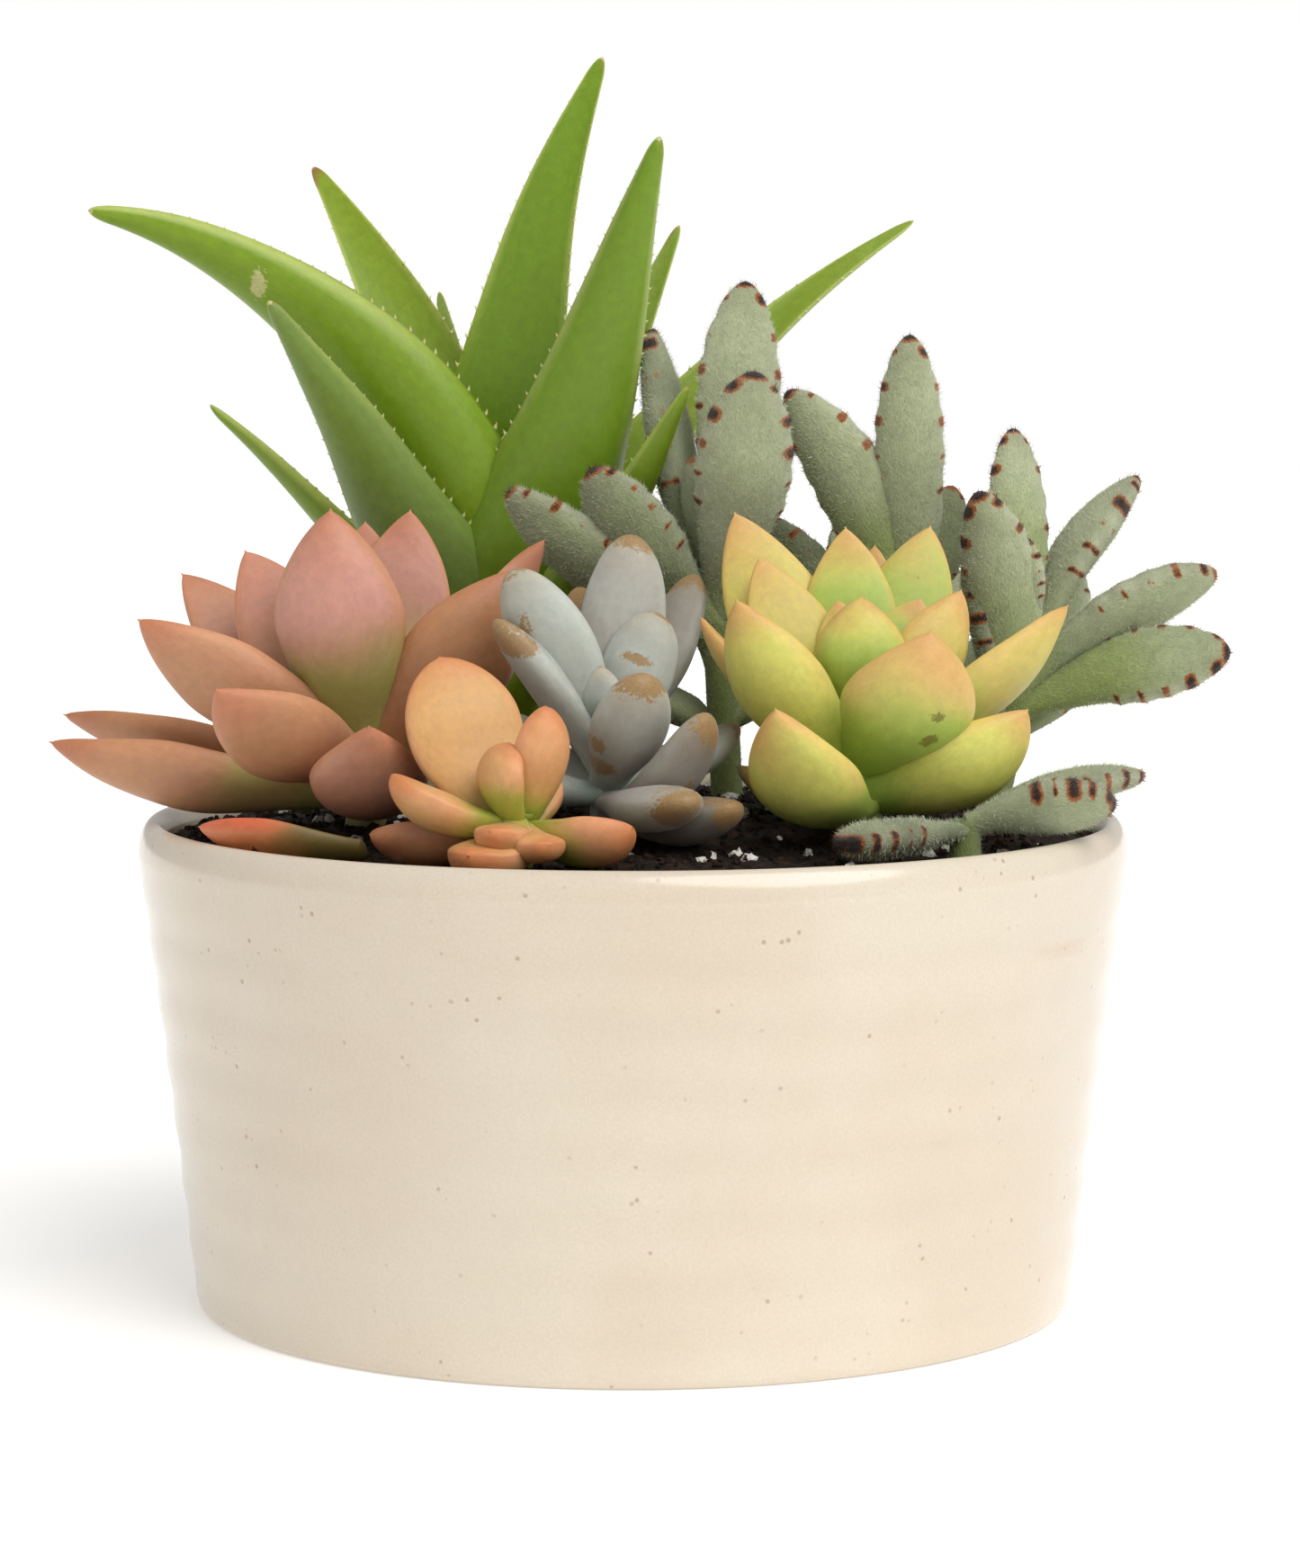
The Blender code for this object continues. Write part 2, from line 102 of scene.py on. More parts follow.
# Hollows pressed in the soil under the heavy leaves: x, y, reach, depth
HOLLOWS = (
    (-22 * MM, -59 * MM, 15 * MM, 3.2 * MM),
    (2 * MM, -40 * MM, 16 * MM, 1.7 * MM),
    (30 * MM, -40 * MM, 14 * MM, 1.7 * MM),
    (46 * MM, -42 * MM, 14 * MM, 2.2 * MM),
    (-56 * MM, -46 * MM, 14 * MM, 2.2 * MM),
)

# How a kind of leaf is shaped. base: width at the root as a share of the full width. widest: where along
# the leaf it is full. close: how sharply it closes to the tip. over, under: height of the upper and lower
# face as shares of the width; below zero the upper face is a channel. rim: roundness of the edge, mm.
# keel: height of the ridge under the leaf as a share of its width. point: length of the fine tip as a
# share of the leaf. blunt: width of the tip as a share of the full width. wave: how far the edges wander,
# as a share of the width.
Form = namedtuple("Form", "base widest open close over under rim keel point blunt wave")
SEDUM = Form(0.45, 0.56, 1.8, 0.82, 0.08, 0.31, 0.25, 0.012, 0.015, 0.00, 0.012)
ORANGE = Form(0.55, 0.60, 2.0, 0.60, 0.12, 0.36, 0.25, 0.008, 0.010, 0.00, 0.010)
POWDER = Form(0.50, 0.58, 2.0, 0.52, 0.26, 0.36, 0.10, 0.000, 0.000, 0.00, 0.012)
FELT = Form(0.42, 0.62, 2.0, 0.60, 0.17, 0.32, 0.30, 0.000, 0.000, 0.00, 0.020)
ALOE = Form(0.90, 0.22, 1.1, 1.00, -0.12, 0.34, 0.50, 0.000, 0.000, 0.08, 0.012)

# One leaf. rise: height of its root on the stem, mm. turn: compass direction from +X towards +Y, and lift:
# slope of the line from root to tip, degrees. length, width: mm. curl: change of slope from root to tip,
# and roll: turn about its own length, degrees. bow: sideways bend of its middle, and ess: sideways double
# bend, as shares of its length. thick: its thickness as a share of the usual one. widest, close: its own
# values in place of its form's.
Leaf = namedtuple("Leaf", "rise turn lift length width curl roll bow ess thick widest close",
                  defaults=(0, 0, 1, None, None))

# One plant. foot and top: ends of its stem above the soil, mm. radius: radius of its stem, mm.
Plant = namedtuple("Plant", "form foot top radius leaves")

PLANTS = {
    "aloe": Plant(ALOE, (-26.5, 36, 81), (-25.5, 34, 123.5), 5.0, (
        Leaf(107, 20, 78, 105.5, 25, -24, 62),
        Leaf(113, -162, 45, 105.5, 26, -75, 50),
        Leaf(105, -37, 67, 97.5, 26, 8, -52),
        Leaf(111, 130, 58, 96.5, 22, -38, -40),
        Leaf(105, -138, 53, 78, 21, -8, 40),
        Leaf(97, -173, 48, 71, 14, -20, 20),
        Leaf(119.5, 112, 64, 55, 12, 0, -20),
        Leaf(103, 21, 44, 114.5, 15, -30, 45),
        Leaf(105, 39, 60, 87.5, 16, 0, 40),
        Leaf(97, -36, 52, 71, 15, 12, -40),
        Leaf(91, -52, 44, 38.5, 12, 0, -20),
        Leaf(105, 95, 30, 81, 20, -20, 0),
        Leaf(99, 60, 30, 63, 16, -15, 0),
        Leaf(97, 122, 28, 53, 15, -15, 0),
        Leaf(117.5, 70, 72, 50.5, 13, 0, 0),
        Leaf(90, 142, 22, 44, 15, -10, 0),
        Leaf(90, 68, 20, 42, 14, -10, 0),
    )),
    "copper_sedum": Plant(SEDUM, (-44, -14, 82), (-43, -14, 102), 3.6, (
        Leaf(94, -118, 74, 42, 21.5, 28, 22),
        Leaf(97, 57, 72, 38, 17, 20, 38),
        Leaf(97, 96, 71, 36, 14, 15, 0),
        Leaf(96, 174, 56, 37, 17, 15, -60),
        Leaf(95, 154, 37, 45, 16, 10, -35),
        Leaf(93, -162, 31, 45, 17, 8, 45),
        Leaf(91, -126, 22, 41, 18, 20, 35),
        Leaf(90, 159, 8, 57, 15, 5, 35),
        Leaf(87, -178, 9, 53, 17, 12, 35),
        Leaf(92, -14, 53, 40, 20, 22, -50),
        Leaf(95, 32, 44, 47, 16, 10, -50),
        Leaf(87, -86, 21, 40, 19, 45, 0),
        Leaf(88, 120, 20, 26, 14, 15, 0),
        Leaf(89, 80, 22, 24, 13, 15, 0),
        Leaf(97, -60, 80, 20, 11, 10, 0),
        Leaf(98, 170, 75, 24, 12, 10, 0),
    )),
    "orange_sedum": Plant(ORANGE, (-17, -48, 81), (-18, -59, 88), 3.0, (
        Leaf(85, 144, 59, 31, 18.5, 22, -38),
        Leaf(86, -166, 22, 22, 12.5, 25, 0),
        Leaf(87, -130, 81, 12.5, 12.5, 40, -30),
        Leaf(86, -42, 73, 20, 9.5, 30, -20),
        Leaf(85, -31, 4, 21, 12.5, 30, -30),
        Leaf(85, -116, -8, 17.5, 13, 30, 0),
        Leaf(87, -108, -3, 12.5, 8.5, 40, 0),
        Leaf(87, -65, -12, 13.5, 9, 40, 0),
        Leaf(88, -92, -30, 9.5, 6, 20, 0),
        Leaf(83.5, -172, 2, 24, 11, 10, 30),
        Leaf(84.5, 70, 40, 14, 9, 10, 0),
    )),
    "blue_pachyphytum": Plant(POWDER, (-4, -29, 81), (-4, -29, 101), 3.2, (
        Leaf(92, -169, 64, 36, 13.5, -12, 60),
        Leaf(90, -159, 54, 33, 10, -25, 0),
        Leaf(95, 76, 66, 37.5, 14, 15, 14),
        Leaf(96, 33, 66, 23, 12, 10, 57),
        Leaf(97, -119, 69, 13, 9, 15, 0),
        Leaf(90, -72, 46, 26, 13, 20, 0),
        Leaf(86, -51, 34, 31, 11, 55, 0),
        Leaf(87, -66, 5, 32, 12, 10, 0),
        Leaf(85, -48, 6, 31, 12, 20, 0),
        Leaf(94, 56, 48, 38, 11, 10, 0),
        Leaf(94, 102, 48, 35, 10, 10, 0),
        Leaf(88, 20, 25, 25, 10, 20, 0),
        Leaf(88, 140, 28, 25, 10, 20, 0),
        Leaf(90, 100, 35, 26, 10, 20, 0),
        Leaf(87, 60, 18, 22, 10, 15, 0),
        Leaf(97, 150, 72, 18, 9, 0, 0),
        Leaf(88, -165, 15, 22, 10, 20, 0),
    )),
    "golden_sedum": Plant(SEDUM, (37, -26, 81), (37, -27, 103), 3.8, (
        Leaf(94, 144, 57, 46.5, 17, 15, -50),
        Leaf(96, 158, 59, 35, 14, 18, -55),
        Leaf(92, -155, 51, 36.5, 16, 32, 40),
        Leaf(86, -118, 30, 38, 18, 62, 10),
        Leaf(97, 100, 69, 36, 15.5, 15, -10),
        Leaf(98, 54, 58, 38.5, 15.5, 15, 36),
        Leaf(101, 128, 71, 19, 10, 10, -38),
        Leaf(98, -96, 82, 22.5, 15.5, 25, 0),
        Leaf(100, 39, 56, 23, 13, 15, 50),
        Leaf(93, -60, 48, 31, 22, 45, -20),
        Leaf(97, 3, 56, 29, 14, 20, -60),
        Leaf(91, 11, 38, 44, 15, 12, -40),
        Leaf(87.5, -21, 28, 32.5, 17, 42, -42),
        Leaf(92, 177, 43, 36, 12, 15, 0),
        Leaf(96, 83, 49, 41, 12, 10, 0),
        Leaf(88, 70, 25, 28, 15, 20, 0),
        Leaf(88, 112, 20, 26, 14, 20, 0),
        Leaf(90, 35, 30, 30, 14, 20, 0),
        Leaf(87, 160, 12, 22, 13, 20, 0),
        Leaf(101, -150, 80, 14, 8, 10, 0),
    )),
    "kalanchoe_left": Plant(FELT, (16, 10, 81), (14, 14, 121.5), 3.0, (
        Leaf(109.5, -174, 36, 44.5, 13, 10, 45),
        Leaf(111.5, -162, 51, 36, 14, 10, 45),
        Leaf(113.5, -63, 73, 44, 16, 8, -25),
        Leaf(117.5, 42, 83, 53.5, 14, 5, 48),
        Leaf(111.5, 130, 71, 54, 13, 5, 30),
        Leaf(97.5, 72, 38, 30, 12, 0, 0),
        Leaf(103.5, 100, 48, 36.5, 12, 0, 0),
        Leaf(94.5, 140, 22, 20, 10, 0, 0),
        Leaf(95.5, 10, 35, 24, 11, 0, 0),
        Leaf(117.5, -150, 78, 24, 8, 0, 0),
        Leaf(118.5, -20, 82, 22, 8, 0, 0),
    )),
    "kalanchoe_middle": Plant(FELT, (44.5, 21, 81), (47.5, 21, 118.5), 3.0, (
        Leaf(107, -169, 65, 50.5, 13, -35, 60),
        Leaf(105, 166, 45, 35.5, 13, 10, 50),
        Leaf(111.5, -92, 83, 50.5, 11.5, 5, 0),
        Leaf(109, 37, 69, 28.5, 10, 5, 50),
        Leaf(99, 70, 40, 34.5, 12, 0, 0),
        Leaf(103, 115, 48, 34.5, 12, 0, 0),
        Leaf(93, 135, 25, 30.5, 11, 0, 0),
        Leaf(115.5, -30, 80, 22.5, 8, 0, 0),
        Leaf(114.5, 150, 75, 24.5, 8, 0, 0),
    )),
    "kalanchoe_right": Plant(FELT, (60.5, 8, 81), (67.5, 10, 111.5), 3.0, (
        Leaf(91.5, -130, 79, 46, 12.5, -45, 40),
        Leaf(103.5, 102, 81, 43, 10, -20, 0),
        Leaf(103.5, 23, 57, 41.5, 12, -45, 0),
        Leaf(101.5, 1, 31, 39.5, 13, -35, -40),
        Leaf(98.5, -18, 16, 38.5, 13, -22, 60),
        Leaf(93.5, 169, 79, 35.5, 9, 0, 0),
        Leaf(99.5, 65, 38, 34.5, 12, 0, 0),
        Leaf(93.5, 95, 25, 34.5, 12, 0, 0),
        Leaf(93.5, 62, 22, 28.5, 11, 0, 0),
        Leaf(108.5, -120, 80, 20, 8, 0, 0),
    )),
    "kalanchoe_low": Plant(FELT, (53, -40, 80), (53, -40, 85), 2.8, (
        Leaf(84, 28, 11, 35, 10, -30, 0),
        Leaf(84, 0, 8, 24.5, 12, -30, -40),
        Leaf(83.5, -143, -1, 26.5, 11, -10, 0),
    )),
}
FALLEN_LEAF = Leaf(81, 168, 6, 28, 12, 5, 35)
FALLEN_LEAF_ROOT = (-42, -46, 81)
STEM_END_HEIGHT = 58 * MM
STEM_TAPER = 0.9
# Stems take their plant's root colour darkened by this share: painted shade under the leaves
STEM_SHADE = 0.6

# Leaves: steps of the midrib, where scallops begin, how many lie on an edge and how deep they are
SPINE_STEPS = 192
SCALLOP_FROM = 0.42
SCALLOPS = 5
SCALLOP_DEPTH = 0.09
# Fine point of a leaf as a share of its half width, and where a blunt tip starts to round off
SPIKE = 0.06
BLUNT_FROM = 0.965
# Aloe teeth: the shares of an edge between which they stand
TOOTH_FIRST = 0.08
TOOTH_LAST = 0.93
# Share of the hairs that the hidden leaves carry
FILL_FUR = 0.3
LEAF_SEED = 7
# Rows and sides of the meshes of the leaves that show best
ALOE_DETAIL = (100, 28)
LEAF_DETAIL = (60, 28)

# Studio
SENSOR = 36
FLOOR_REACH = 4.0
FLOOR_DROP = -0.05 * MM

# Skin of one leaf. turn: share of its length where the root colour gives way. blush, dusk: shares of the
# plant's blush and dusk colours; the blush is partly painted light, and the dusk colour is partly older,
# darker skin and partly painted shade on the leaves that lie in shadow. rub: how far its marks spread.
Skin = namedtuple("Skin", "turn blush dusk rub", defaults=(0.3, 0.0, 0.0, 0.0))
SKINS = {
    "aloe": {
        0: Skin(0.0, 0.0, 0.10, 0.4), 1: Skin(0.0, 0.1, 0.0, 0.6), 2: Skin(0.0, 0.0, 0.15, 0.3),
        3: Skin(0.0, 0.35, 0.0, 0.5), 4: Skin(0.0, 0.0, 0.75, 0.3), 5: Skin(0.0, 0.2, 0.1, 0.8),
    },
    "copper_sedum": {
        0: Skin(0.50, 0.9, 0.0, 0.1), 1: Skin(0.52, 0.8, 0.0, 0.1), 2: Skin(0.5, 0.6, 0.1, 0.1),
        3: Skin(0.50, 0.7, 0.0, 0.1), 4: Skin(0.15, 0.5, 0.1, 0.1), 5: Skin(0.10, 0.25, 0.0, 0.2),
        6: Skin(0.02, 0.15, 0.05, 0.2), 7: Skin(0.25, 0.0, 0.35, 0.1), 8: Skin(0.36, 0.2, 0.15, 0.2),
        9: Skin(0.12, 0.0, 0.40, 0.1), 10: Skin(0.05, 0.9, 0.35, 0.1), 11: Skin(0.05, 0.8, 0.25, 0.1),
    },
    "orange_sedum": {
        0: Skin(0.18, 0.0, 0.0, 0.2), 1: Skin(0.45, 0.2, 0.0, 0.1), 2: Skin(0.45, 0.2, 0.0, 0.0),
        3: Skin(0.35, 0.6, 0.0, 0.0), 4: Skin(0.62, 0.8, 0.0, 0.1), 5: Skin(0.40, 0.1, 0.0, 0.1),
        6: Skin(0.3, 0.2, 0.0, 0.0), 7: Skin(0.3, 0.2, 0.0, 0.0), 8: Skin(0.35, 0.1, 0.0, 0.0),
        9: Skin(0.2, 0.9, 0.6, 0.0),
    },
    "blue_pachyphytum": {
        0: Skin(0.1, 0.0, 0.0, 0.35), 1: Skin(0.1, 0.2, 0.0, 1.25), 2: Skin(0.1, 0.45, 0.0, 0.85),
        3: Skin(0.1, 0.1, 0.0, 0.45), 4: Skin(0.6, 0.2, 0.0, 0.45), 5: Skin(0.1, 0.5, 0.0, 0.95),
        6: Skin(0.0, 0.9, 0.35, 0.95), 7: Skin(0.0, 0.6, 0.0, 1.3), 8: Skin(0.0, 0.8, 0.8, 0.9),
        9: Skin(0.0, 0.6, 0.35, 1.1), 10: Skin(0.0, 0.9, 0.7, 1.2),
    },
    "golden_sedum": {
        0: Skin(0.30, 0.3, 0.0, 0.1), 1: Skin(0.35, 0.4, 0.0, 0.1), 2: Skin(0.30, 0.1, 0.0, 0.1),
        3: Skin(0.45, 0.0, 0.0, 0.4), 4: Skin(0.80, 0.2, 0.0, 0.1), 5: Skin(0.82, 0.2, 0.25, 0.3),
        6: Skin(0.62, 0.3, 0.0, 0.0), 7: Skin(0.72, 0.1, 0.0, 0.0), 8: Skin(0.80, 0.1, 0.0, 0.0),
        9: Skin(0.66, 0.9, 0.0, 0.2), 10: Skin(0.60, 0.6, 0.0, 0.0), 11: Skin(0.45, 0.5, 0.1, 0.1),
        12: Skin(0.25, 0.0, 0.0, 0.1), 13: Skin(0.0, 0.9, 0.1, 0.1), 14: Skin(0.0, 0.9, 0.2, 0.1),
    },
    "kalanchoe_left": {
        0: Skin(0.2, 0.0, 0.2, 0.8), 1: Skin(0.1, 0.0, 0.35, 0.9), 2: Skin(0.1, 0.5, 0.1, 1.6),
        3: Skin(0.45, 0.5, 0.0, 1.2), 4: Skin(0.1, 0.1, 0.5, 1.1),
    },
    "kalanchoe_middle": {
        0: Skin(0.55, 0.5, 0.0, 0.9), 1: Skin(0.1, 0.0, 0.75, 0.6), 2: Skin(0.25, 0.4, 0.0, 1.1),
        3: Skin(0.1, 0.0, 0.35, 0.7),
    },
    "kalanchoe_right": {
        0: Skin(0.5, 0.5, 0.0, 1.3), 1: Skin(0.6, 0.5, 0.0, 1.1), 2: Skin(0.25, 0.3, 0.2, 1.5),
        3: Skin(0.15, 0.3, 0.15, 0.7), 4: Skin(0.6, 0.0, 0.0, 1.1), 5: Skin(0.0, 0.2, 0.6, 1.6),
    },
    "kalanchoe_low": {
        0: Skin(0.0, 0.2, 0.45, 1.3), 1: Skin(0.0, 0.4, 0.35, 1.6), 2: Skin(0.0, 0.1, 0.6, 1.3),
    },
    "fallen_leaf": {0: Skin(0.42, 0.3, 0.1, 0.3)},
}

# A mark on a leaf. leaf: its row. t: share of its length. reach: -1 to 1 across it. length, width: mm.
# lean: degrees from the leaf's own direction.
Mark = namedtuple("Mark", "leaf t reach length width lean")
MARKS = {
    "aloe": (
        Mark(1, 0.70, 0.1, 3.0, 1.4, 60), Mark(5, 0.45, 0.3, 2.2, 0.8, 0),
        Mark(9, 0.7, 0.5, 3.0, 0.6, 20),
    ),
    "copper_sedum": (Mark(9, 0.55, 0.2, 0.5, 0.5, 0), Mark(11, 0.5, 0.2, 0.4, 0.4, 0)),
    "golden_sedum": (
        Mark(9, 0.50, 0.35, 4.2, 0.55, -22), Mark(9, 0.66, 0.30, 1.6, 0.4, -25),
        Mark(3, 0.20, 0.30, 1.4, 0.9, 80),
        Mark(3, 0.75, -0.45, 0.6, 0.6, 0), Mark(3, 0.28, -0.4, 0.45, 0.45, 0),
        Mark(5, 0.74, 0.1, 0.7, 0.7, 0),
    ),
    "blue_pachyphytum": (
        Mark(3, 0.62, 0.1, 1.0, 2.6, 0), Mark(5, 0.30, -0.7, 2.4, 2.0, 20), Mark(5, 0.50, -0.85, 2.0, 1.0, 0),
        Mark(0, 0.75, -0.2, 3.0, 1.2, 10), Mark(6, 0.6, 0.0, 2.0, 1.4, 0),
    ),
    "fallen_leaf": (Mark(0, 0.62, 0.35, 2.0, 0.45, 40), Mark(0, 0.68, 0.2, 1.4, 0.35, 20)),
}


def linear(red, green, blue):
    """A colour given as 0 to 255 screen values, as scene-linear values."""
    shares = (value / 255 for value in (red, green, blue))
    return tuple(share / 12.92 if share < 0.04045 else ((share + 0.055) / 1.055) ** 2.4 for share in shares)


def tint(name, description, red, green, blue):
    return bpy.props.FloatVectorProperty(
        name=name, description=description, subtype="COLOR", size=3, min=0, max=1,
        default=linear(red, green, blue))


def distance(name, description, default, low=0.0, high=1.0):
    return bpy.props.FloatProperty(
        name=name, description=description, unit="LENGTH", subtype="DISTANCE", precision=5,
        min=low, max=high, default=default)


def share_of(name, description, default):
    return bpy.props.FloatProperty(
        name=name, description=description, subtype="FACTOR", min=0, max=1, default=default)


def whole(name, description, default, low, high):
    return bpy.props.IntProperty(name=name, description=description, min=low, max=high, default=default)


class BowlSettings(bpy.types.PropertyGroup):
    """Sizes and glaze of the thrown bowl."""
    facets: whole("Facets", "Faces round the bowl", 240, 24, 360)
    steps: whole("Steps", "Rings of faces on the outer wall", 110, 20, 200)
    ridge_height: distance("Ridge height", "Rise of a throwing ridge over the plain wall", 0.15 * MM, 0, MM)
    wobble: distance("Wobble", "How far the ridges wander up and down round the bowl", 6 * MM, 0, 12 * MM)
    glaze: tint("Glaze", "Main colour of the glaze", 212, 200, 181)
    glaze_thin: tint("Thin glaze", "Colour where the glaze runs thin on a ridge", 196, 174, 148)
    glaze_speck: tint("Speck", "Iron specks in the glaze", 150, 122, 96)
    roughness: share_of("Roughness", "Roughness of the glaze", 0.2)


class SoilSettings(bpy.types.PropertyGroup):
    """Sizes and colours of the potting mix."""
    crumb_count: whole("Crumbs", "Crumbs of soil for each square decimetre", 1500, 0, 4000)
    crumb_size: distance("Crumb size", "Width of a usual crumb", 1.5 * MM, 0.2 * MM, 5 * MM)
    perlite_count: whole("Perlite", "Grains of perlite for each square decimetre", 60, 0, 400)
    perlite_size: distance("Perlite size", "Width of a usual grain of perlite", 2.2 * MM, 0.2 * MM, 6 * MM)
    mould: tint("Soil", "Damp soil", 22, 15, 10)
    bark: tint("Bark", "Bark and fibre in the soil", 66, 44, 29)
    perlite: tint("Perlite", "White expanded grains", 226, 222, 214)


class AloeSettings(bpy.types.PropertyGroup):
    """Teeth and colours of the aloe."""
    tooth_spacing: distance("Tooth spacing", "Distance between teeth along an edge", 2.8 * MM, MM, 20 * MM)
    tooth_height: distance("Tooth height", "Height of the largest teeth", 1.3 * MM, 0.1 * MM, 3 * MM)
    root: tint("Root", "Pale base of a leaf", 140, 162, 40)
    body: tint("Body", "Middle of a leaf", 112, 144, 16)
    tip: tint("Tip", "Dry tip of a leaf", 150, 100, 62)
    rim: tint("Rim", "Edge and teeth", 190, 200, 110)
    blush: tint("Blush", "Yellowed skin", 168, 172, 62)
    # Dark colour: partly greyed, older skin, partly painted shade on the aloe leaves that lie in shadow
    dusk: tint("Dusk", "Greyed, older skin", 112, 130, 72)
    scar: tint("Scar", "Healed scratches", 190, 186, 128)


class CopperSettings(bpy.types.PropertyGroup):
    """Colours of the copper sedum."""
    root: tint("Root", "Green base of a leaf", 166, 164, 92)
    body: tint("Body", "Middle of a leaf", 186, 136, 96)
    tip: tint("Tip", "Tip of a leaf", 186, 118, 86)
    rim: tint("Rim", "Edge of a leaf", 204, 146, 104)
    blush: tint("Blush", "Pink flush of the young leaves", 200, 146, 136)
    dusk: tint("Dusk", "Brown of the shaded leaves", 140, 90, 56)
    # Dark colour: partly browner skin, partly painted shade on the copper leaves that lie in shadow
    scar: tint("Scar", "Bruises", 96, 62, 44)


class OrangeSettings(bpy.types.PropertyGroup):
    """Colours of the orange sedum."""
    root: tint("Root", "Green base of a leaf", 158, 164, 66)
    body: tint("Body", "Middle of a leaf", 206, 160, 102)
    tip: tint("Tip", "Tip of a leaf", 200, 122, 74)
    rim: tint("Rim", "Edge of a leaf", 214, 150, 108)
    blush: tint("Blush", "Coral flush", 214, 140, 104)
    # Dark colour: partly deep red skin, partly painted shade on the orange leaf that lies in shadow
    dusk: tint("Dusk", "Dark red of the shaded leaf", 104, 66, 46)
    scar: tint("Scar", "Bruises", 96, 60, 34)


class GoldenSettings(bpy.types.PropertyGroup):
    """Colours of the golden sedum."""
    root: tint("Root", "Green base of a leaf", 166, 186, 84)
    body: tint("Body", "Middle of a leaf", 208, 206, 104)
    tip: tint("Tip", "Tip of a leaf", 206, 152, 96)
    rim: tint("Rim", "Edge of a leaf", 216, 180, 104)
    blush: tint("Blush", "Tan flush of the sunlit leaves", 206, 156, 104)
    dusk: tint("Dusk", "Olive of the shaded leaves", 150, 150, 66)
    # Dark colour: partly olive skin, partly painted shade on the golden leaves that lie in shadow
    scar: tint("Scar", "Bruises and scratches", 122, 116, 44)


class PowderySettings(bpy.types.PropertyGroup):
    """Colours of the blue-grey pachyphytum."""
    root: tint("Root", "Base of a leaf", 172, 192, 180)
    body: tint("Body", "Powdered skin", 172, 176, 166)
    tip: tint("Tip", "Tip of a leaf", 168, 160, 140)
    rim: tint("Rim", "Edge of a leaf", 190, 196, 186)
    blush: tint("Blush", "Violet brown of the older leaves", 150, 134, 124)
    # Dark colour: partly withered brown skin, partly painted shade on the lowest leaves, under the others
    dusk: tint("Dusk", "Dark brown of the lowest leaves", 84, 68, 56)
    scar: tint("Bare skin", "Skin where the powder is rubbed off", 150, 114, 60)


class KalanchoeSettings(bpy.types.PropertyGroup):
    """Hairs and colours of the kalanchoes."""
    hair_density: whole("Hair density", "Hairs for each square millimetre", 4, 0, 10)
    hair_length: distance("Hair length", "Length of a usual hair", 0.75 * MM, 0.1 * MM, 2 * MM)
    hair_width: distance("Hair width", "Width of a hair at its root", 0.09 * MM, 0.01 * MM, 0.2 * MM)
    root: tint("Root", "Fresh green base of a leaf", 158, 174, 98)
    body: tint("Body", "Felted skin", 172, 182, 138)
    tip: tint("Tip", "Skin by the tip", 168, 172, 136)
    # White felt of the edge: partly the felt's own paler margin, partly painted highlight along the edge
    rim: tint("Rim", "White felt of the edge", 204, 206, 176)
    # Frosted felt: partly the felt's own frost, partly painted light on the upright, upper leaves
    blush: tint("Blush", "Frosted felt of the upright leaves", 208, 213, 178)
    # Dark colour: painted shade on the felted leaves that lie in shadow
    dusk: tint("Dusk", "Dark felt of the shaded leaves", 104, 112, 78)
    scar: tint("Spot", "Dark middle of an edge spot", 44, 27, 18)
    spot_rim: tint("Spot rim", "Rusty border of an edge spot", 166, 96, 44)


class FallenLeafSettings(bpy.types.PropertyGroup):
    """Colours of the loose red leaf."""
    root: tint("Root", "Green base of the leaf", 112, 96, 46)
    body: tint("Body", "Middle of the leaf", 196, 128, 74)
    tip: tint("Tip", "Tip of the leaf", 214, 112, 84)
    rim: tint("Rim", "Edge of the leaf", 214, 90, 66)
    blush: tint("Blush", "Red flush", 210, 92, 66)
    # Brown of its shaded side: painted shade, laid evenly over the whole leaf
    dusk: tint("Dusk", "Brown of its shaded side", 92, 70, 40)
    scar: tint("Scar", "Dry scratches", 70, 40, 34)


class StudioSettings(bpy.types.PropertyGroup):
    """Floor, lights and camera."""
    lens: bpy.props.FloatProperty(
        name="Lens", description="Focal length of the camera, mm", min=20, max=300, default=109.47)
    camera_place: bpy.props.FloatVectorProperty(
        name="Camera place", description="Where the camera stands", subtype="XYZ", unit="LENGTH",
        default=(0.0028, -0.7946, 0.166))
    camera_pitch: bpy.props.FloatProperty(
        name="Camera pitch", description="How far the camera looks down", subtype="ANGLE", unit="ROTATION",
        default=math.radians(5.7))
    floor: tint("Floor", "Pale floor", 244, 243, 241)
    floor_glow: share_of("Floor glow", "Light that the lit-up floor gives itself", 0.3)
    key_light: bpy.props.FloatProperty(
        name="Key light", description="Strength of the soft light at the right", min=0, default=2.3)
    fill_light: bpy.props.FloatProperty(
        name="Fill light", description="Strength of the soft light at the left", min=0, default=0.12)
    sky: bpy.props.FloatProperty(
        name="Sky", description="Strength of the even light from all round", min=0, default=0.5)


class GardenSettings(bpy.types.PropertyGroup):
    """Everything about the dish garden that a user would change."""
    bowl: bpy.props.PointerProperty(type=BowlSettings, name="Bowl")
    soil: bpy.props.PointerProperty(type=SoilSettings, name="Soil")
    aloe: bpy.props.PointerProperty(type=AloeSettings, name="Aloe")
    copper_sedum: bpy.props.PointerProperty(type=CopperSettings, name="Copper sedum")
    orange_sedum: bpy.props.PointerProperty(type=OrangeSettings, name="Orange sedum")
    golden_sedum: bpy.props.PointerProperty(type=GoldenSettings, name="Golden sedum")
    blue_pachyphytum: bpy.props.PointerProperty(type=PowderySettings, name="Blue pachyphytum")
    kalanchoe: bpy.props.PointerProperty(type=KalanchoeSettings, name="Kalanchoe")
    fallen_leaf: bpy.props.PointerProperty(type=FallenLeafSettings, name="Fallen leaf")
    studio: bpy.props.PointerProperty(type=StudioSettings, name="Studio")


# Node trees

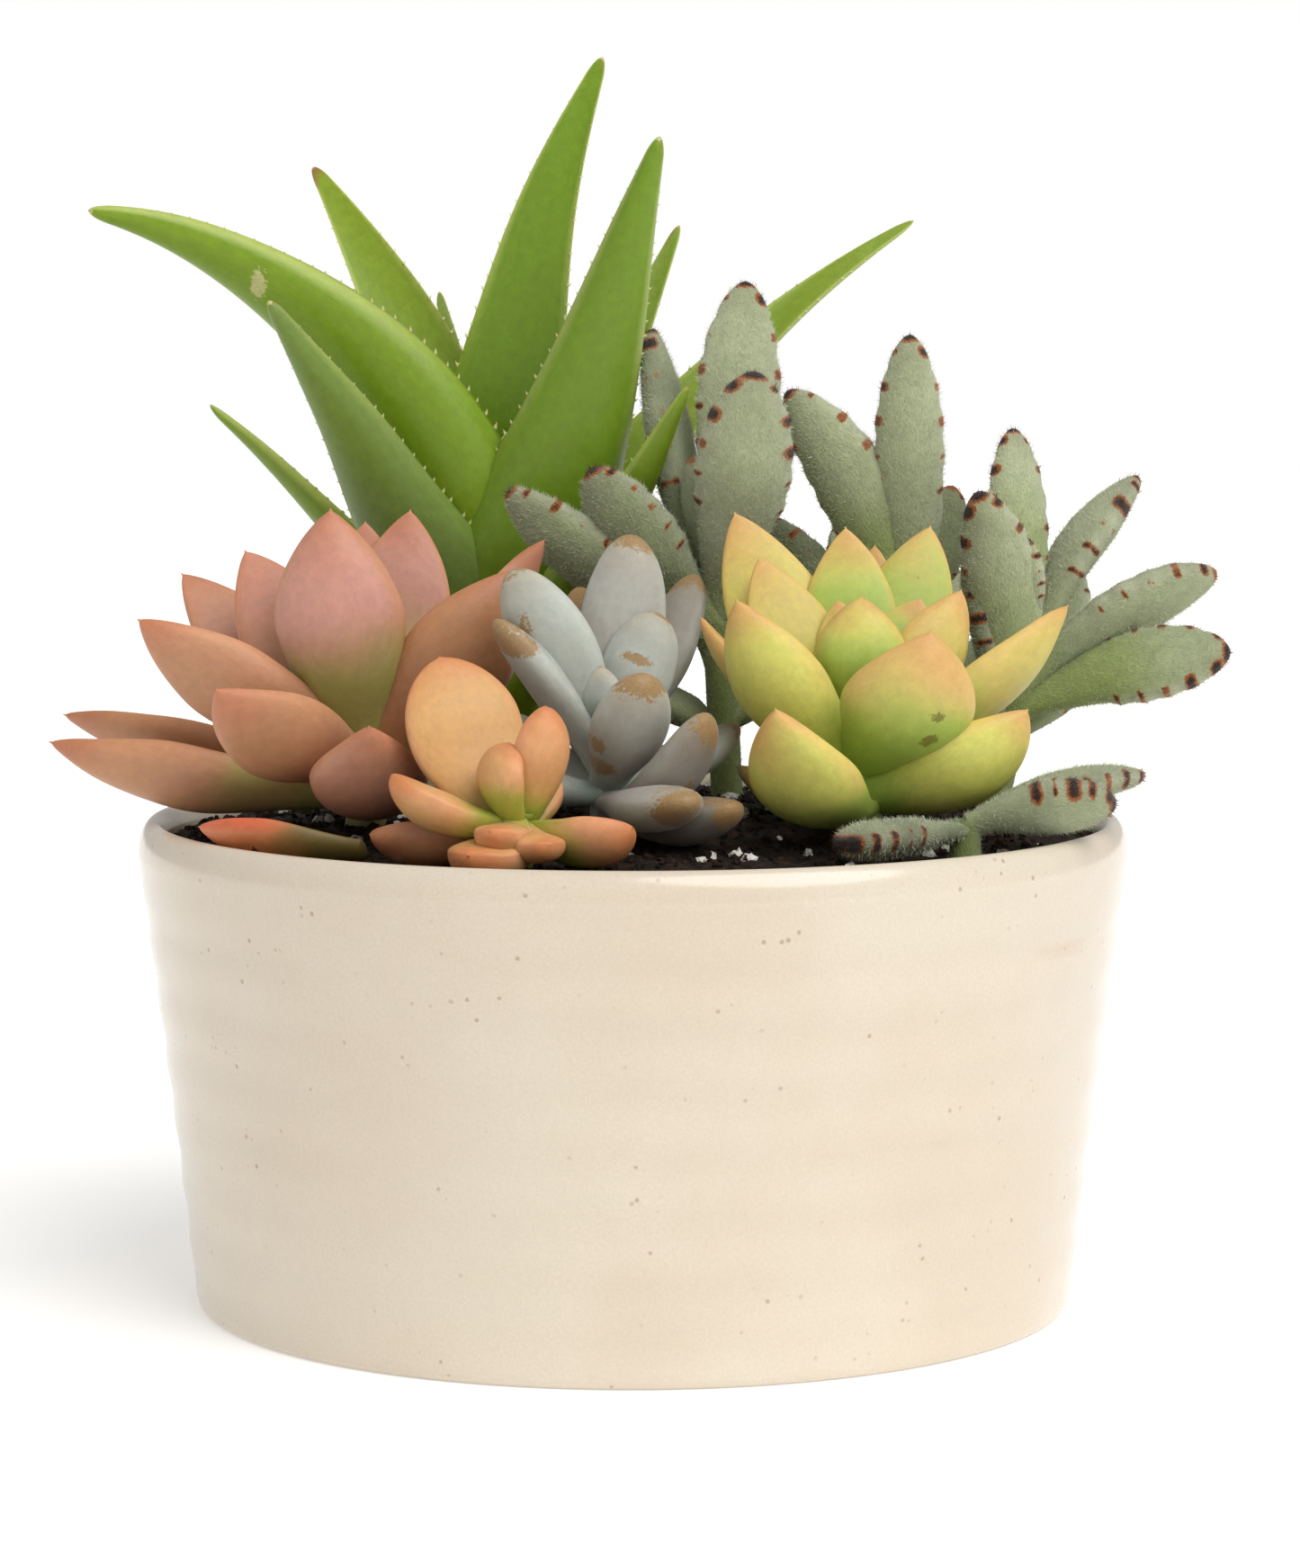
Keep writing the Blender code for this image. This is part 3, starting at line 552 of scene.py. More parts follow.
class Tree:
    """Short calls for adding nodes to a shader or geometry tree and feeding their sockets."""

    def __init__(self, tree):
        self.tree = tree

    def feed(self, socket, value):
        if isinstance(value, bpy.types.NodeSocket):
            self.tree.links.new(value, socket)
        else:
            socket.default_value = value

    def add(self, kind, inputs=(), **settings):
        node = self.tree.nodes.new(kind)
        for key, value in settings.items():
            setattr(node, key, value)
        for key, value in dict(inputs).items():
            self.feed(node.inputs[key], value)
        return node

    def maths(self, operation, first, second=0.0):
        node = self.add("ShaderNodeMath", {0: first, 1: second}, operation=operation)
        return node.outputs[0]

    def vector_maths(self, operation, first, second=(0, 0, 0), scale=1.0):
        node = self.add("ShaderNodeVectorMath", {0: first, 1: second}, operation=operation)
        if operation == "SCALE":
            self.feed(node.inputs["Scale"], scale)
        return node.outputs["Vector"]

    def fitted(self, value, low, high, new_low=0.0, new_high=1.0, soft=True):
        """A value moved from one range to another, held at the ends."""
        node = self.add("ShaderNodeMapRange", {
            "Value": value, "From Min": low, "From Max": high, "To Min": new_low, "To Max": new_high},
            interpolation_type="SMOOTHSTEP" if soft else "LINEAR")
        return node.outputs["Result"]


class Shader(Tree):
    """A new material with a Principled shader, and short calls for its patterns."""

    def __init__(self, name):
        self.material = bpy.data.materials.new(name)
        self.material.use_nodes = True
        super().__init__(self.material.node_tree)
        self.principled = self.tree.nodes["Principled BSDF"]

    def coordinates(self):
        return self.add("ShaderNodeTexCoord").outputs["Object"]

    def attribute(self, name, output="Fac"):
        return self.add("ShaderNodeAttribute", attribute_name=name).outputs[output]

    def stretched(self, vector, x, y, z):
        return self.vector_maths("MULTIPLY", vector, (x, y, z))

    def noise(self, vector, scale, detail=3.0, roughness=0.55):
        node = self.add("ShaderNodeTexNoise", {
            "Vector": vector, "Scale": scale, "Detail": detail, "Roughness": roughness})
        return node.outputs["Fac"]

    def cells(self, vector, scale, output="Distance"):
        return self.add("ShaderNodeTexVoronoi", {"Vector": vector, "Scale": scale}).outputs[output]

    def mixed(self, share, first, second, blend="MIX"):
        node = self.add("ShaderNodeMix", data_type="RGBA", blend_type=blend)
        self.feed(node.inputs[0], share)
        for socket, colour in ((node.inputs[6], first), (node.inputs[7], second)):
            self.feed(socket, colour if isinstance(colour, bpy.types.NodeSocket) else (*colour, 1))
        return node.outputs[2]

    def shaded(self, colour, value, low, high):
        """A colour made darker or lighter by a value between 0 and 1."""
        level = self.fitted(value, 0.25, 0.75, low, high, soft=False)
        return self.mixed(1.0, colour, self.add("ShaderNodeCombineColor", {
            "Red": level, "Green": level, "Blue": level}).outputs[0], "MULTIPLY")

    def bump(self, height, depth, under=None):
        node = self.add("ShaderNodeBump", {"Height": height, "Distance": depth})
        if under is not None:
            self.feed(node.inputs["Normal"], under)
        return node.outputs["Normal"]

    def set(self, **values):
        """Set or link the Principled shader's sockets; spaces in their names are written as underscores."""
        for key, value in values.items():
            self.feed(self.principled.inputs[key.replace("_", " ")], value)


def plain(colour):
    return tuple(colour)[:3]


def leaf_material(name, scar, roughness, depth, streaks, grain, powder=0.0):
    """Waxy skin over wet flesh. depth: how deep light goes. streaks: strength of the lines along a leaf."""
    make = Shader(name)
    local = make.attribute("local", "Vector")
    skin = make.attribute("skin", "Color")
    mottle = make.noise(local, 0.55, 5, 0.6)
    lines = make.noise(make.stretched(local, 2.4, 2.4, 0.16), 1.0, 3)
    colour = make.shaded(skin, mottle, 0.90, 1.10)
    colour = make.shaded(colour, lines, 1 - streaks, 1 + streaks)
    pores = make.fitted(make.cells(local, 3.0), 0.10, 0.32)
    colour = make.shaded(colour, pores, 1.0 + 0.5 * streaks, 1.0)
    ragged = make.maths("ADD", make.attribute("mark"), make.fitted(
        make.noise(local, 1.3, 5, 0.7), 0.25, 0.75, -0.3, 0.3, soft=False))
    bare = make.fitted(ragged, 0.46, 0.60)
    scar_colour = make.shaded(make.mixed(0.0, scar, scar), make.noise(local, 2.2, 4), 0.75, 1.25)
    colour = make.mixed(make.maths("MULTIPLY", bare, 0.85), colour, scar_colour)
    bump = make.bump(mottle, 0.08 * MM)
    bump = make.bump(make.noise(local, 4.5, 4, 0.6), grain, bump)
    rough = make.fitted(mottle, 0.2, 0.8, roughness - 0.06, roughness + 0.08)
    rough = make.maths("SUBTRACT", rough, make.maths("MULTIPLY", bare, powder))
    make.set(Base_Color=colour, Roughness=rough, Normal=bump, IOR=1.42, Subsurface_Weight=0.22,
             Subsurface_Scale=depth, Subsurface_Radius=(1.0, 0.75, 0.25))
    if powder:
        make.set(Sheen_Weight=0.12, Sheen_Roughness=0.6)
    return make.material


def felt_material(name, settings):
    """Skin under felt: matt, fibrous, with rusty dark spots."""
    make = Shader(name)
    local = make.attribute("local", "Vector")
    skin = make.attribute("skin", "Color")
    fibres = make.noise(make.stretched(local, 3.2, 3.2, 1.3), 1.0, 4, 0.7)
    colour = make.shaded(skin, fibres, 0.78, 1.2)
    colour = make.shaded(colour, make.noise(local, 0.4, 4), 0.88, 1.12)
    colour = spotted(make, colour, local, settings)
    bump = make.bump(fibres, 0.5 * MM)
    make.set(Base_Color=colour, Roughness=0.95, Normal=bump, Specular_IOR_Level=0.2,
             Sheen_Weight=0.25, Sheen_Roughness=0.5)
    return make.material


def spotted(make, colour, local, settings):
    """Rusty spots with dark middles where the mark is strong."""
    mark = make.maths("ADD", make.attribute("mark"), make.fitted(
        make.noise(local, 1.6, 5, 0.75), 0.25, 0.75, -0.22, 0.22, soft=False))
    colour = make.mixed(make.fitted(mark, 0.30, 0.46), colour, plain(settings.spot_rim))
    return make.mixed(make.fitted(mark, 0.50, 0.72), colour, plain(settings.scar))


def hair_material(name, settings):
    """Fine pale hairs, browned on the spots."""
    make = Shader(name)
    skin = make.attribute("skin", "Color")
    colour = make.mixed(0.45, skin, linear(226, 226, 208))
    mark = make.attribute("mark")
    colour = make.mixed(make.fitted(mark, 0.32, 0.5), colour, plain(settings.spot_rim))
    colour = make.mixed(make.fitted(mark, 0.5, 0.7), colour, plain(settings.scar))
    make.set(Base_Color=colour, Roughness=0.85, Specular_IOR_Level=0.2, Sheen_Weight=0.2)
    return make.material


def tooth_material(name, coat):
    """Pale, slightly clear teeth."""
    make = Shader(name)
    tone = make.noise(make.coordinates(), 300, 2)
    colour = make.mixed(tone, plain(coat.rim), linear(214, 214, 160))
    make.set(Base_Color=colour, Roughness=0.4, Subsurface_Weight=0.3, Subsurface_Scale=MM)
    return make.material


def glaze_material(name, settings):
    """Warm glaze over stoneware: fine specks, soft clouds of thinner glaze, with faint brown wisps."""
    make = Shader(name)
    place = make.coordinates()
    cloud = make.noise(place, 22, 3)
    colour = make.mixed(
        make.fitted(cloud, 0.35, 0.7, 0, 0.3), plain(settings.glaze), plain(settings.glaze_thin))
    wisp = make.noise(make.stretched(place, 14, 14, 90), 1.0, 3)
    colour = make.mixed(make.fitted(wisp, 0.66, 0.78, 0, 0.45), colour, plain(settings.glaze_thin))
    grain = make.noise(place, 2300, 2, 0.5)
    colour = make.shaded(colour, grain, 0.95, 1.05)
    speck = make.cells(place, 420)
    rare = make.noise(place, 160, 2)
    dots = make.maths("MULTIPLY", make.fitted(speck, 0.22, 0.10), make.fitted(rare, 0.56, 0.66))
    colour = make.mixed(make.maths("MULTIPLY", dots, 0.6), colour, plain(settings.glaze_speck))
    bump = make.bump(make.noise(place, 60, 2), 0.35 * MM)
    make.set(Base_Color=colour, Roughness=settings.roughness, Normal=bump, IOR=1.5,
             Coat_Weight=0.25, Coat_Roughness=0.08)
    return make.material


def soil_material(name, settings):
    """Damp crumbly soil with fibres."""
    make = Shader(name)
    place = make.coordinates()
    clods = make.noise(place, 420, 6, 0.7)
    fibre = make.noise(make.stretched(place, 1, 2.6, 1), 900, 3, 0.6)
    colour = make.mixed(make.fitted(clods, 0.42, 0.72), plain(settings.mould), plain(settings.bark))
    colour = make.shaded(colour, fibre, 0.6, 1.5)
    bump = make.bump(clods, 1.2 * MM)
    make.set(Base_Color=colour, Roughness=make.fitted(clods, 0.3, 0.7, 0.75, 1.0), Normal=bump,
             Specular_IOR_Level=0.3)
    return make.material


def perlite_material(name, settings):
    """Bright foamed grains with soil in their pits."""
    make = Shader(name)
    place = make.coordinates()
    pits = make.noise(place, 900, 4, 0.7)
    colour = make.mixed(make.fitted(pits, 0.5, 0.36, 0, 0.8), plain(settings.perlite), plain(settings.bark))
    make.set(Base_Color=colour, Roughness=0.9, Normal=make.bump(pits, 0.6 * MM))
    return make.material


# Meshes

class Shells:
    """Gathers closed shells, with named values over their surface, into one piece."""

    KINDS = {3: ("FLOAT_VECTOR", "vector"), 4: ("FLOAT_COLOR", "color"), 1: ("FLOAT", "value")}

    def __init__(self):
        self.points = []
        self.faces = []
        self.values = {}
        self.count = 0

    def add(self, rows, start, end, **values):
        """Add a shell of closed rows of points, from a start point to an end point."""
        steps, sides = rows.shape[:2]
        first = self.count + 1
        last = first + steps * sides
        self.points.append(np.vstack([start[None], rows.reshape(-1, 3), end[None]]))
        self.count = last + 1
        ring = np.arange(sides)
        after = (ring + 1) % sides
        for low in range(first, last - sides, sides):
            high = low + sides
            self.faces.append(np.stack([low + ring, low + after, high + after, high + ring], axis=1))
        top = last - sides
        self.faces.append(np.stack([np.full(sides, first - 1), first + after, first + ring], axis=1))
        self.faces.append(np.stack([np.full(sides, last), top + ring, top + after], axis=1))
        for name, value in values.items():
            flat = value.reshape(steps * sides, -1)
            self.values.setdefault(name, []).append(np.vstack([flat[:1], flat, flat[-1:]]))

    def mesh(self, name):
        mesh = bpy.data.meshes.new(name)
        faces = [face for block in self.faces for face in block.tolist()]
        mesh.from_pydata(np.vstack(self.points).tolist(), [], faces)
        mesh.shade_smooth()
        for label, blocks in self.values.items():
            flat = np.vstack(blocks)
            kind, field = self.KINDS[flat.shape[1]]
            mesh.attributes.new(label, kind, "POINT").data.foreach_set(field, flat.ravel())
        return mesh


def new_piece(name, mesh, material=None):
    piece = bpy.data.objects.new(name, mesh)
    bpy.context.scene.collection.objects.link(piece)
    if material:
        mesh.materials.clear()
        mesh.materials.append(material)
    return piece


def declare(piece, nodes, slot):
    """Tie a piece to the body and hide the nodes that it stands for; the slot is not used."""
    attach(piece, BODY)
    if nodes:
        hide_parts(*nodes)


def smooth(low, high, value):
    """Soft step from 0 at low to 1 at high."""
    share = np.clip((value - low) / (high - low), 0, 1)
    return share * share * (3 - 2 * share)


def wavering(rng, share, waves=4):
    """A curve that wavers between about -1 and 1 as share goes from 0 to 1."""
    total = 0
    for turns in range(1, waves + 1):
        total = total + rng.uniform(0.4, 1) / turns * np.sin(math.tau * (turns * share + rng.uniform()))
    return total / 1.5


def patches(rng, share, angle, waves=6):
    """Soft patches between about -1 and 1 over a leaf's surface."""
    total = 0
    for _ in range(waves):
        along = rng.uniform(0.5, 3.0)
        around = rng.integers(0, 3)
        total = total + np.sin(math.tau * (along * share + rng.uniform()) + around * angle)
    return total / waves ** 0.5 / 1.2


def half_width(form, leaf, share):
    """Half width of a leaf at a share of its length, as a share of its full half width."""
    widest = leaf.widest or form.widest
    grow = np.minimum(share / widest, 1)
    grow = form.base + (1 - form.base) * grow * grow * (3 - 2 * grow)
    body = np.minimum(share / (1 - form.point), 1)
    shut = np.maximum(body - widest, 0) / (1 - widest)
    half = grow * (form.blunt + (1 - form.blunt) * (1 - shut ** form.open) ** (leaf.close or form.close))
    if form.point:
        spike = SPIKE * np.clip((1 - share) / (2.2 * form.point), 0, 1)
        half = np.hypot(half, spike * (share > 0.6))
    if form.blunt:
        half = half * np.sqrt(1 - (np.maximum(share - BLUNT_FROM, 0) / (1 - BLUNT_FROM)) ** 2)
    return half


def spine(leaf, share):
    """Run and rise of a leaf's midrib at shares of its length, and its slope there."""
    steps = np.linspace(0, 1, SPINE_STEPS + 1)
    middles = np.radians(leaf.lift + leaf.curl * ((steps[1:] + steps[:-1]) / 2 - 0.5))
    step = leaf.length * MM / SPINE_STEPS
    run = np.concatenate([[0], np.cumsum(np.cos(middles))]) * step
    rise = np.concatenate([[0], np.cumsum(np.sin(middles))]) * step
    slope = np.radians(leaf.lift + leaf.curl * (share - 0.5))
    return np.interp(share, steps, run), np.interp(share, steps, rise), slope


# Surface of one leaf, as arrays of rows and sides. share: of its length. angle: round its section, with 0 and
# pi at its edges. reach: across it, -1 to 1. half: half width in metres. normal_z: how far it faces up.
Surface = namedtuple("Surface", "share angle reach half normal_z points start end length along")


def leaf_surface(form, leaf, root, rings, sides, rng, scallops=0):
    """Points of one leaf's surface."""
    polar = np.linspace(0, math.pi, rings + 1)[1:-1]
    share = 0.65 * (1 - np.cos(polar)) / 2 + 0.35 * polar / math.pi
    around = np.linspace(0, math.tau, sides, endpoint=False)
    angle = around - 0.25 * np.sin(2 * around)
    share, angle = np.meshgrid(share, angle, indexing="ij")
    reach, height = np.cos(angle), np.sin(angle)
    width = leaf.width * MM
    half = 0.5 * width * half_width(form, leaf, share)
    half *= np.sqrt(np.clip(share / 0.02, 0.05, 1))
    edges = np.where(reach > 0, wavering(rng, share, 6), wavering(rng, share, 6))
    sideways = half * reach * (1 + form.wave * edges)
    if scallops:
        sideways *= 1 + scallop(form, share, scallops) * smooth(0.55, 1, np.abs(reach))
    swell = leaf.thick * np.where(height > 0, form.over, form.under) * 2 * half * height
    swell -= form.keel * 2 * half * np.exp(-(reach / 0.16) ** 2) * (height < 0) * smooth(0.3, 0.75, share)
    blunt = np.minimum(form.rim * MM, 0.5 * half)
    swell += np.sign(height) * blunt * np.abs(height) ** 0.45
    swell += 0.012 * width * patches(rng, share, angle) * smooth(0, 0.2, share) * smooth(1, 0.85, share)
    run, rise, slope = spine(leaf, share)
    turn, roll = math.radians(leaf.turn), math.radians(leaf.roll)
    outward = np.array([math.cos(turn), math.sin(turn), 0])
    side = np.array([-math.sin(turn), math.cos(turn), 0])
    upright = np.array([0, 0, 1])
    up = np.cos(slope)[..., None] * upright - np.sin(slope)[..., None] * outward
    across = side * math.cos(roll) + up * math.sin(roll)
    up = up * math.cos(roll) - side * math.sin(roll)
    sway = leaf.bow * 4 * share * (1 - share) + leaf.ess * np.sin(math.tau * share)
    sway = leaf.length * MM * (sway + 0.008 * wavering(rng, share, 2) * np.sin(math.pi * share))
    middle = root + run[..., None] * outward + rise[..., None] * upright + sway[..., None] * across
    points = middle + sideways[..., None] * across + swell[..., None] * up
    facing = np.where(height > 0, np.sign(form.over), 1) * height
    normal_z = reach * across[..., 2] * 0.5 + facing * up[..., 2]
    run_end, rise_end, _ = spine(leaf, np.array([1.0]))
    end = root + run_end[0] * outward + rise_end[0] * upright
    along = np.cos(slope)[..., None] * outward + np.sin(slope)[..., None] * upright
    return Surface(share, angle, reach, half, normal_z, points, root, end, leaf.length, along)


def scallop(form, share, count):
    """Rounded lobes of a felted leaf's edge, from SCALLOP_FROM to its tip, as a share of the half width."""
    along = np.clip((share - SCALLOP_FROM) / (1 - SCALLOP_FROM), 0, 1)
    waves = SCALLOP_DEPTH * np.abs(np.sin(math.pi * count * along)) ** 0.7 * smooth(0, 0.1, along)
    return waves - 0.5 * SCALLOP_DEPTH


def leaf_skin(coat, skin, surface, rng, softness=0.14, tip_from=0.72, rim_share=0.6):
    """Colour over one leaf: root, body, tip and edge, then its flush, partly painted light, and its dark
    colour, partly older skin and partly painted shade.
    """
    colours = {name: np.array(getattr(coat, name))
               for name in ("root", "body", "tip", "rim", "blush", "dusk")}
    cloud = patches(rng, surface.share, surface.angle)
    share = surface.share + 0.05 * cloud
    layers = (
        ("body", smooth(skin.turn - softness, skin.turn + softness, share)),
        # Blush: partly the leaf's own flush, partly painted light, made stronger where a face turns up
        # towards the light
        ("blush", skin.blush * (0.75 + 0.25 * surface.normal_z + 0.15 * cloud)
         * smooth(skin.turn - softness, skin.turn + softness, share)),
        # Edge colour: each plant's own margin colour; on the felted leaves partly painted highlight along the
        # edge
        ("rim", rim_share * smooth(0.80, 1.0, np.abs(surface.reach)) * smooth(0.25, 0.7, share)),
        ("tip", smooth(tip_from, 1.02, share) * 0.85),
        # Dark colour, laid evenly over a leaf: partly older, darker skin, partly painted shade on the leaves
        # that lie in shadow
        ("dusk", skin.dusk * (0.85 + 0.25 * cloud)),
    )
    colour = np.broadcast_to(colours["root"], surface.points.shape).copy()
    for name, amount in layers:
        amount = np.clip(amount, 0, 1)[..., None]
        colour = colour * (1 - amount) + colours[name] * amount
    return np.concatenate([colour, np.ones((*colour.shape[:2], 1))], axis=-1)


def local_place(surface, index):
    """Place on a leaf in millimetres, across, through and along it, set apart from the other leaves."""
    across = surface.reach * surface.half / MM
    through = np.sin(surface.angle) * surface.half / MM
    along = surface.share * surface.length + 200.0 * index
    return np.stack([across, through, along], axis=-1)


def mark_field(marks, surface, index):
    """Strength of the marks that lie on one leaf: 1 in the middle of a mark, 0.5 at its border."""
    field = np.zeros(surface.share.shape)
    for mark in marks:
        if mark.leaf != index:
            continue
        along = (surface.share - mark.t) * surface.length
        across = (surface.reach - mark.reach) * surface.half / MM
        lean = math.radians(mark.lean)
        near = np.hypot((along * math.cos(lean) + across * math.sin(lean)) / mark.length,
                        (across * math.cos(lean) - along * math.sin(lean)) / mark.width)
        field = np.maximum(field, np.clip(1 - 0.5 * near, 0, 1))
    return field


def stem_rows(foot, top, radius, sides=20, steps=14):
    """Rows of a stem: upright below the soil, then leaning to its top."""
    path = [np.array([foot[0], foot[1], STEM_END_HEIGHT]), np.array(foot), np.array(top)]
    shares = np.linspace(0, 2, steps)
    starts = [min(int(share), 1) for share in shares]
    middles = np.array([path[start] * (1 - share + start) + path[start + 1] * (share - start)
                        for share, start in zip(shares, starts)])
    around = np.linspace(0, math.tau, sides, endpoint=False)
    circle = np.stack([np.cos(around), np.sin(around), np.zeros(sides)], axis=-1)
    radii = radius * np.where(shares > 1, STEM_TAPER, 1)
    rows = middles[:, None, :] + circle[None] * radii[:, None, None]
    return rows, path[0], path[2]


def leaf_root(plant, leaf):
    foot, top = np.array(plant.foot) * MM, np.array(plant.top) * MM
    share = (leaf.rise * MM - foot[2]) / (top[2] - foot[2])
    return foot + (top - foot) * share


def plant_shells(name, coat, detail, rub, look=(), scallops=0, spacing=0):
    """All leaves of one plant and its stem as shells with their colours, and the places of its teeth."""
    plant = PLANTS[name]
    shells = Shells()
    teeth = []
    shown = SKINS[name]
    for index, leaf in enumerate(plant.leaves):
        rng = np.random.default_rng(LEAF_SEED + 1000 * list(PLANTS).index(name) + index)
        rings, sides = detail if index in shown else (detail[0] * 5 // 8, detail[1] * 5 // 7)
        # Leaves without a row of their own take random shares of blush and of the dark colour, which is
        # partly painted shade
        skin = shown.get(index, Skin(0.25, rng.uniform(0, 0.4), rng.uniform(0, 0.3), 0.6))
        surface = leaf_surface(plant.form, leaf, leaf_root(plant, leaf), rings, sides, rng, scallops)
        colour = leaf_skin(coat, skin, surface, rng, **dict(look))
        mark = np.maximum(mark_field(MARKS.get(name, ()), surface, index), rub(surface, skin, rng))
        shells.add(surface.points, surface.start, surface.end, skin=colour, mark=mark,
                   local=local_place(surface, index), comb=surface.along,
                   fur=np.full(mark.shape, 1.0 if index in shown else FILL_FUR))
        if spacing:
            teeth.extend(edge_teeth(surface, spacing, rng))
    add_stem(shells, plant, coat)
    return shells, teeth


def edge_teeth(surface, spacing, rng):
    """Places, directions and sizes of the teeth along both edges of a leaf."""
    sides = surface.points.shape[1]
    right, left = surface.points[:, 0], surface.points[:, sides // 2]
    for edge, other in ((right, left), (left, right)):
        run = np.concatenate([[0], np.cumsum(np.linalg.norm(np.diff(edge, axis=0), axis=1))])
        middles = np.arange(TOOTH_FIRST * run[-1], TOOTH_LAST * run[-1], spacing)
        middles = middles + rng.uniform(-0.2, 0.2, len(middles)) * spacing
        for middle in middles:
            place = np.array([np.interp(middle, run, edge[:, axis]) for axis in range(3)])
            across = np.array([np.interp(middle, run, (edge - other)[:, axis]) for axis in range(3)])
            ahead = np.array([np.interp(middle + MM, run, edge[:, axis]) for axis in range(3)]) - place
            across /= np.linalg.norm(across)
            ahead /= np.linalg.norm(ahead)
            out = across + 0.35 * ahead
            size = rng.uniform(0.75, 1.1) * (1 - 0.65 * middle / run[-1])
            yield place - 0.15 * MM * across, out / np.linalg.norm(out), ahead, size


def teeth_mesh(teeth):
    """A loose point for each tooth, with its direction and size."""
    places, outs, aheads, sizes = zip(*teeth)
    mesh = bpy.data.meshes.new("aloe_teeth")
    mesh.from_pydata([tuple(place) for place in places], [], [])
    mesh.attributes.new("tooth_out", "FLOAT_VECTOR", "POINT").data.foreach_set(
        "vector", np.array(outs).ravel())
    mesh.attributes.new("comb", "FLOAT_VECTOR", "POINT").data.foreach_set("vector", np.array(aheads).ravel())
    mesh.attributes.new("size", "FLOAT", "POINT").data.foreach_set("value", np.array(sizes))
    return mesh


def add_stem(shells, plant, coat):
    rows, start, end = stem_rows(np.array(plant.foot) * MM, np.array(plant.top) * MM, plant.radius * MM)
    still = np.zeros(rows.shape[:2])
    # Stem colour: the root colour darkened, painted shade under the leaves
    colour = np.broadcast_to(np.array([*(STEM_SHADE * Vector(coat.root)), 1]), (*still.shape, 4))
    upright = np.broadcast_to(np.array([0.0, 0, 1]), rows.shape)
    shells.add(rows, start, end, skin=colour, mark=still, local=rows / MM, comb=upright, fur=still + FILL_FUR)


def powder_rub(surface, skin, rng):
    """Powder rubbed off at the tip and in patches."""
    ragged = surface.share + 0.05 * patches(rng, surface.share, surface.angle)
    tip = smooth(1.0 - 0.30 * skin.rub, 1.02, ragged)
    patch = patches(rng, 2 * surface.share, surface.angle)
    return 0.75 * tip + 0.22 * skin.rub * np.clip(patch, 0, 1)


def tip_rub(surface, skin, rng):
    """A dry point at the very tip."""
    return 0.8 * smooth(0.985, 1.0, surface.share)


def edge_spots(surface, skin, rng):
    """Brown spots on the lobes of a felted leaf's edge, largest at its tip."""
    field = 0.9 * smooth(1 - 2.2 / surface.length, 1.0, surface.share) * min(skin.rub, 1)
    width = surface.half.max() / MM
    for lobe in range(SCALLOPS + 1):
        for hand in (-1, 1):
            middle = SCALLOP_FROM + (1 - SCALLOP_FROM) * (lobe + 0.5) / SCALLOPS
            size = skin.rub * rng.uniform(0.3, 0.9) * (0.6 + 0.5 * lobe / SCALLOPS)
            along = (surface.share - middle) * surface.length
            across = (surface.reach * hand - 0.93) * np.minimum(surface.half / MM, width)
            field = np.maximum(field, np.clip(1 - 0.5 * np.hypot(along, across) / max(size, 0.01), 0, 1))
    return field


# Geometry trees

class Growth(Tree):
    """A new geometry tree with a Geometry input and output and named, typed inputs."""

    def __init__(self, name, inputs):
        super().__init__(bpy.data.node_groups.new(name, "GeometryNodeTree"))
        face = self.tree.interface
        face.new_socket("Geometry", in_out="INPUT", socket_type="NodeSocketGeometry")
        face.new_socket("Geometry", in_out="OUTPUT", socket_type="NodeSocketGeometry")
        for label, kind, default in inputs:
            socket = face.new_socket(label, in_out="INPUT", socket_type="NodeSocket" + kind)
            if default is not None:
                socket.default_value = default
        self.inputs = self.add("NodeGroupInput").outputs

    def named(self, name, kind="FLOAT"):
        node = self.add("GeometryNodeInputNamedAttribute", {"Name": name}, data_type=kind)
        return node.outputs["Attribute"]

    def random(self, low, high, seed, kind="FLOAT"):
        node = self.add("FunctionNodeRandomValue", data_type=kind)
        pick = {"FLOAT": (2, 3, 1), "FLOAT_VECTOR": (0, 1, 0), "INT": (4, 5, 2)}[kind]
        self.feed(node.inputs[pick[0]], low)
        self.feed(node.inputs[pick[1]], high)
        self.feed(node.inputs["Seed"], seed)
        return node.outputs[pick[2]]

    def close(self, geometry):
        """End the tree: make instances real, and set the material."""
        real = self.add("GeometryNodeRealizeInstances", {"Geometry": geometry})
        done = self.add("GeometryNodeSetMaterial", {
            "Geometry": real.outputs[0], "Material": self.inputs["Material"]})
        out = self.add("NodeGroupOutput")
        self.feed(out.inputs["Geometry"], done.outputs[0])
        return self.tree


def grown(piece, tree, values):
    """Run a geometry tree on a piece and keep the result as its plain mesh."""
    modifier = piece.modifiers.new(tree.name, "NODES")
    modifier.node_group = tree
    for item in tree.interface.items_tree:
        if item.item_type == "SOCKET" and item.in_out == "INPUT" and item.name in values:
            modifier[item.identifier] = values[item.name]
    graph = bpy.context.evaluated_depsgraph_get()
    mesh = bpy.data.meshes.new_from_object(piece.evaluated_get(graph))
    piece.modifiers.clear()
    piece.data = mesh
    return piece


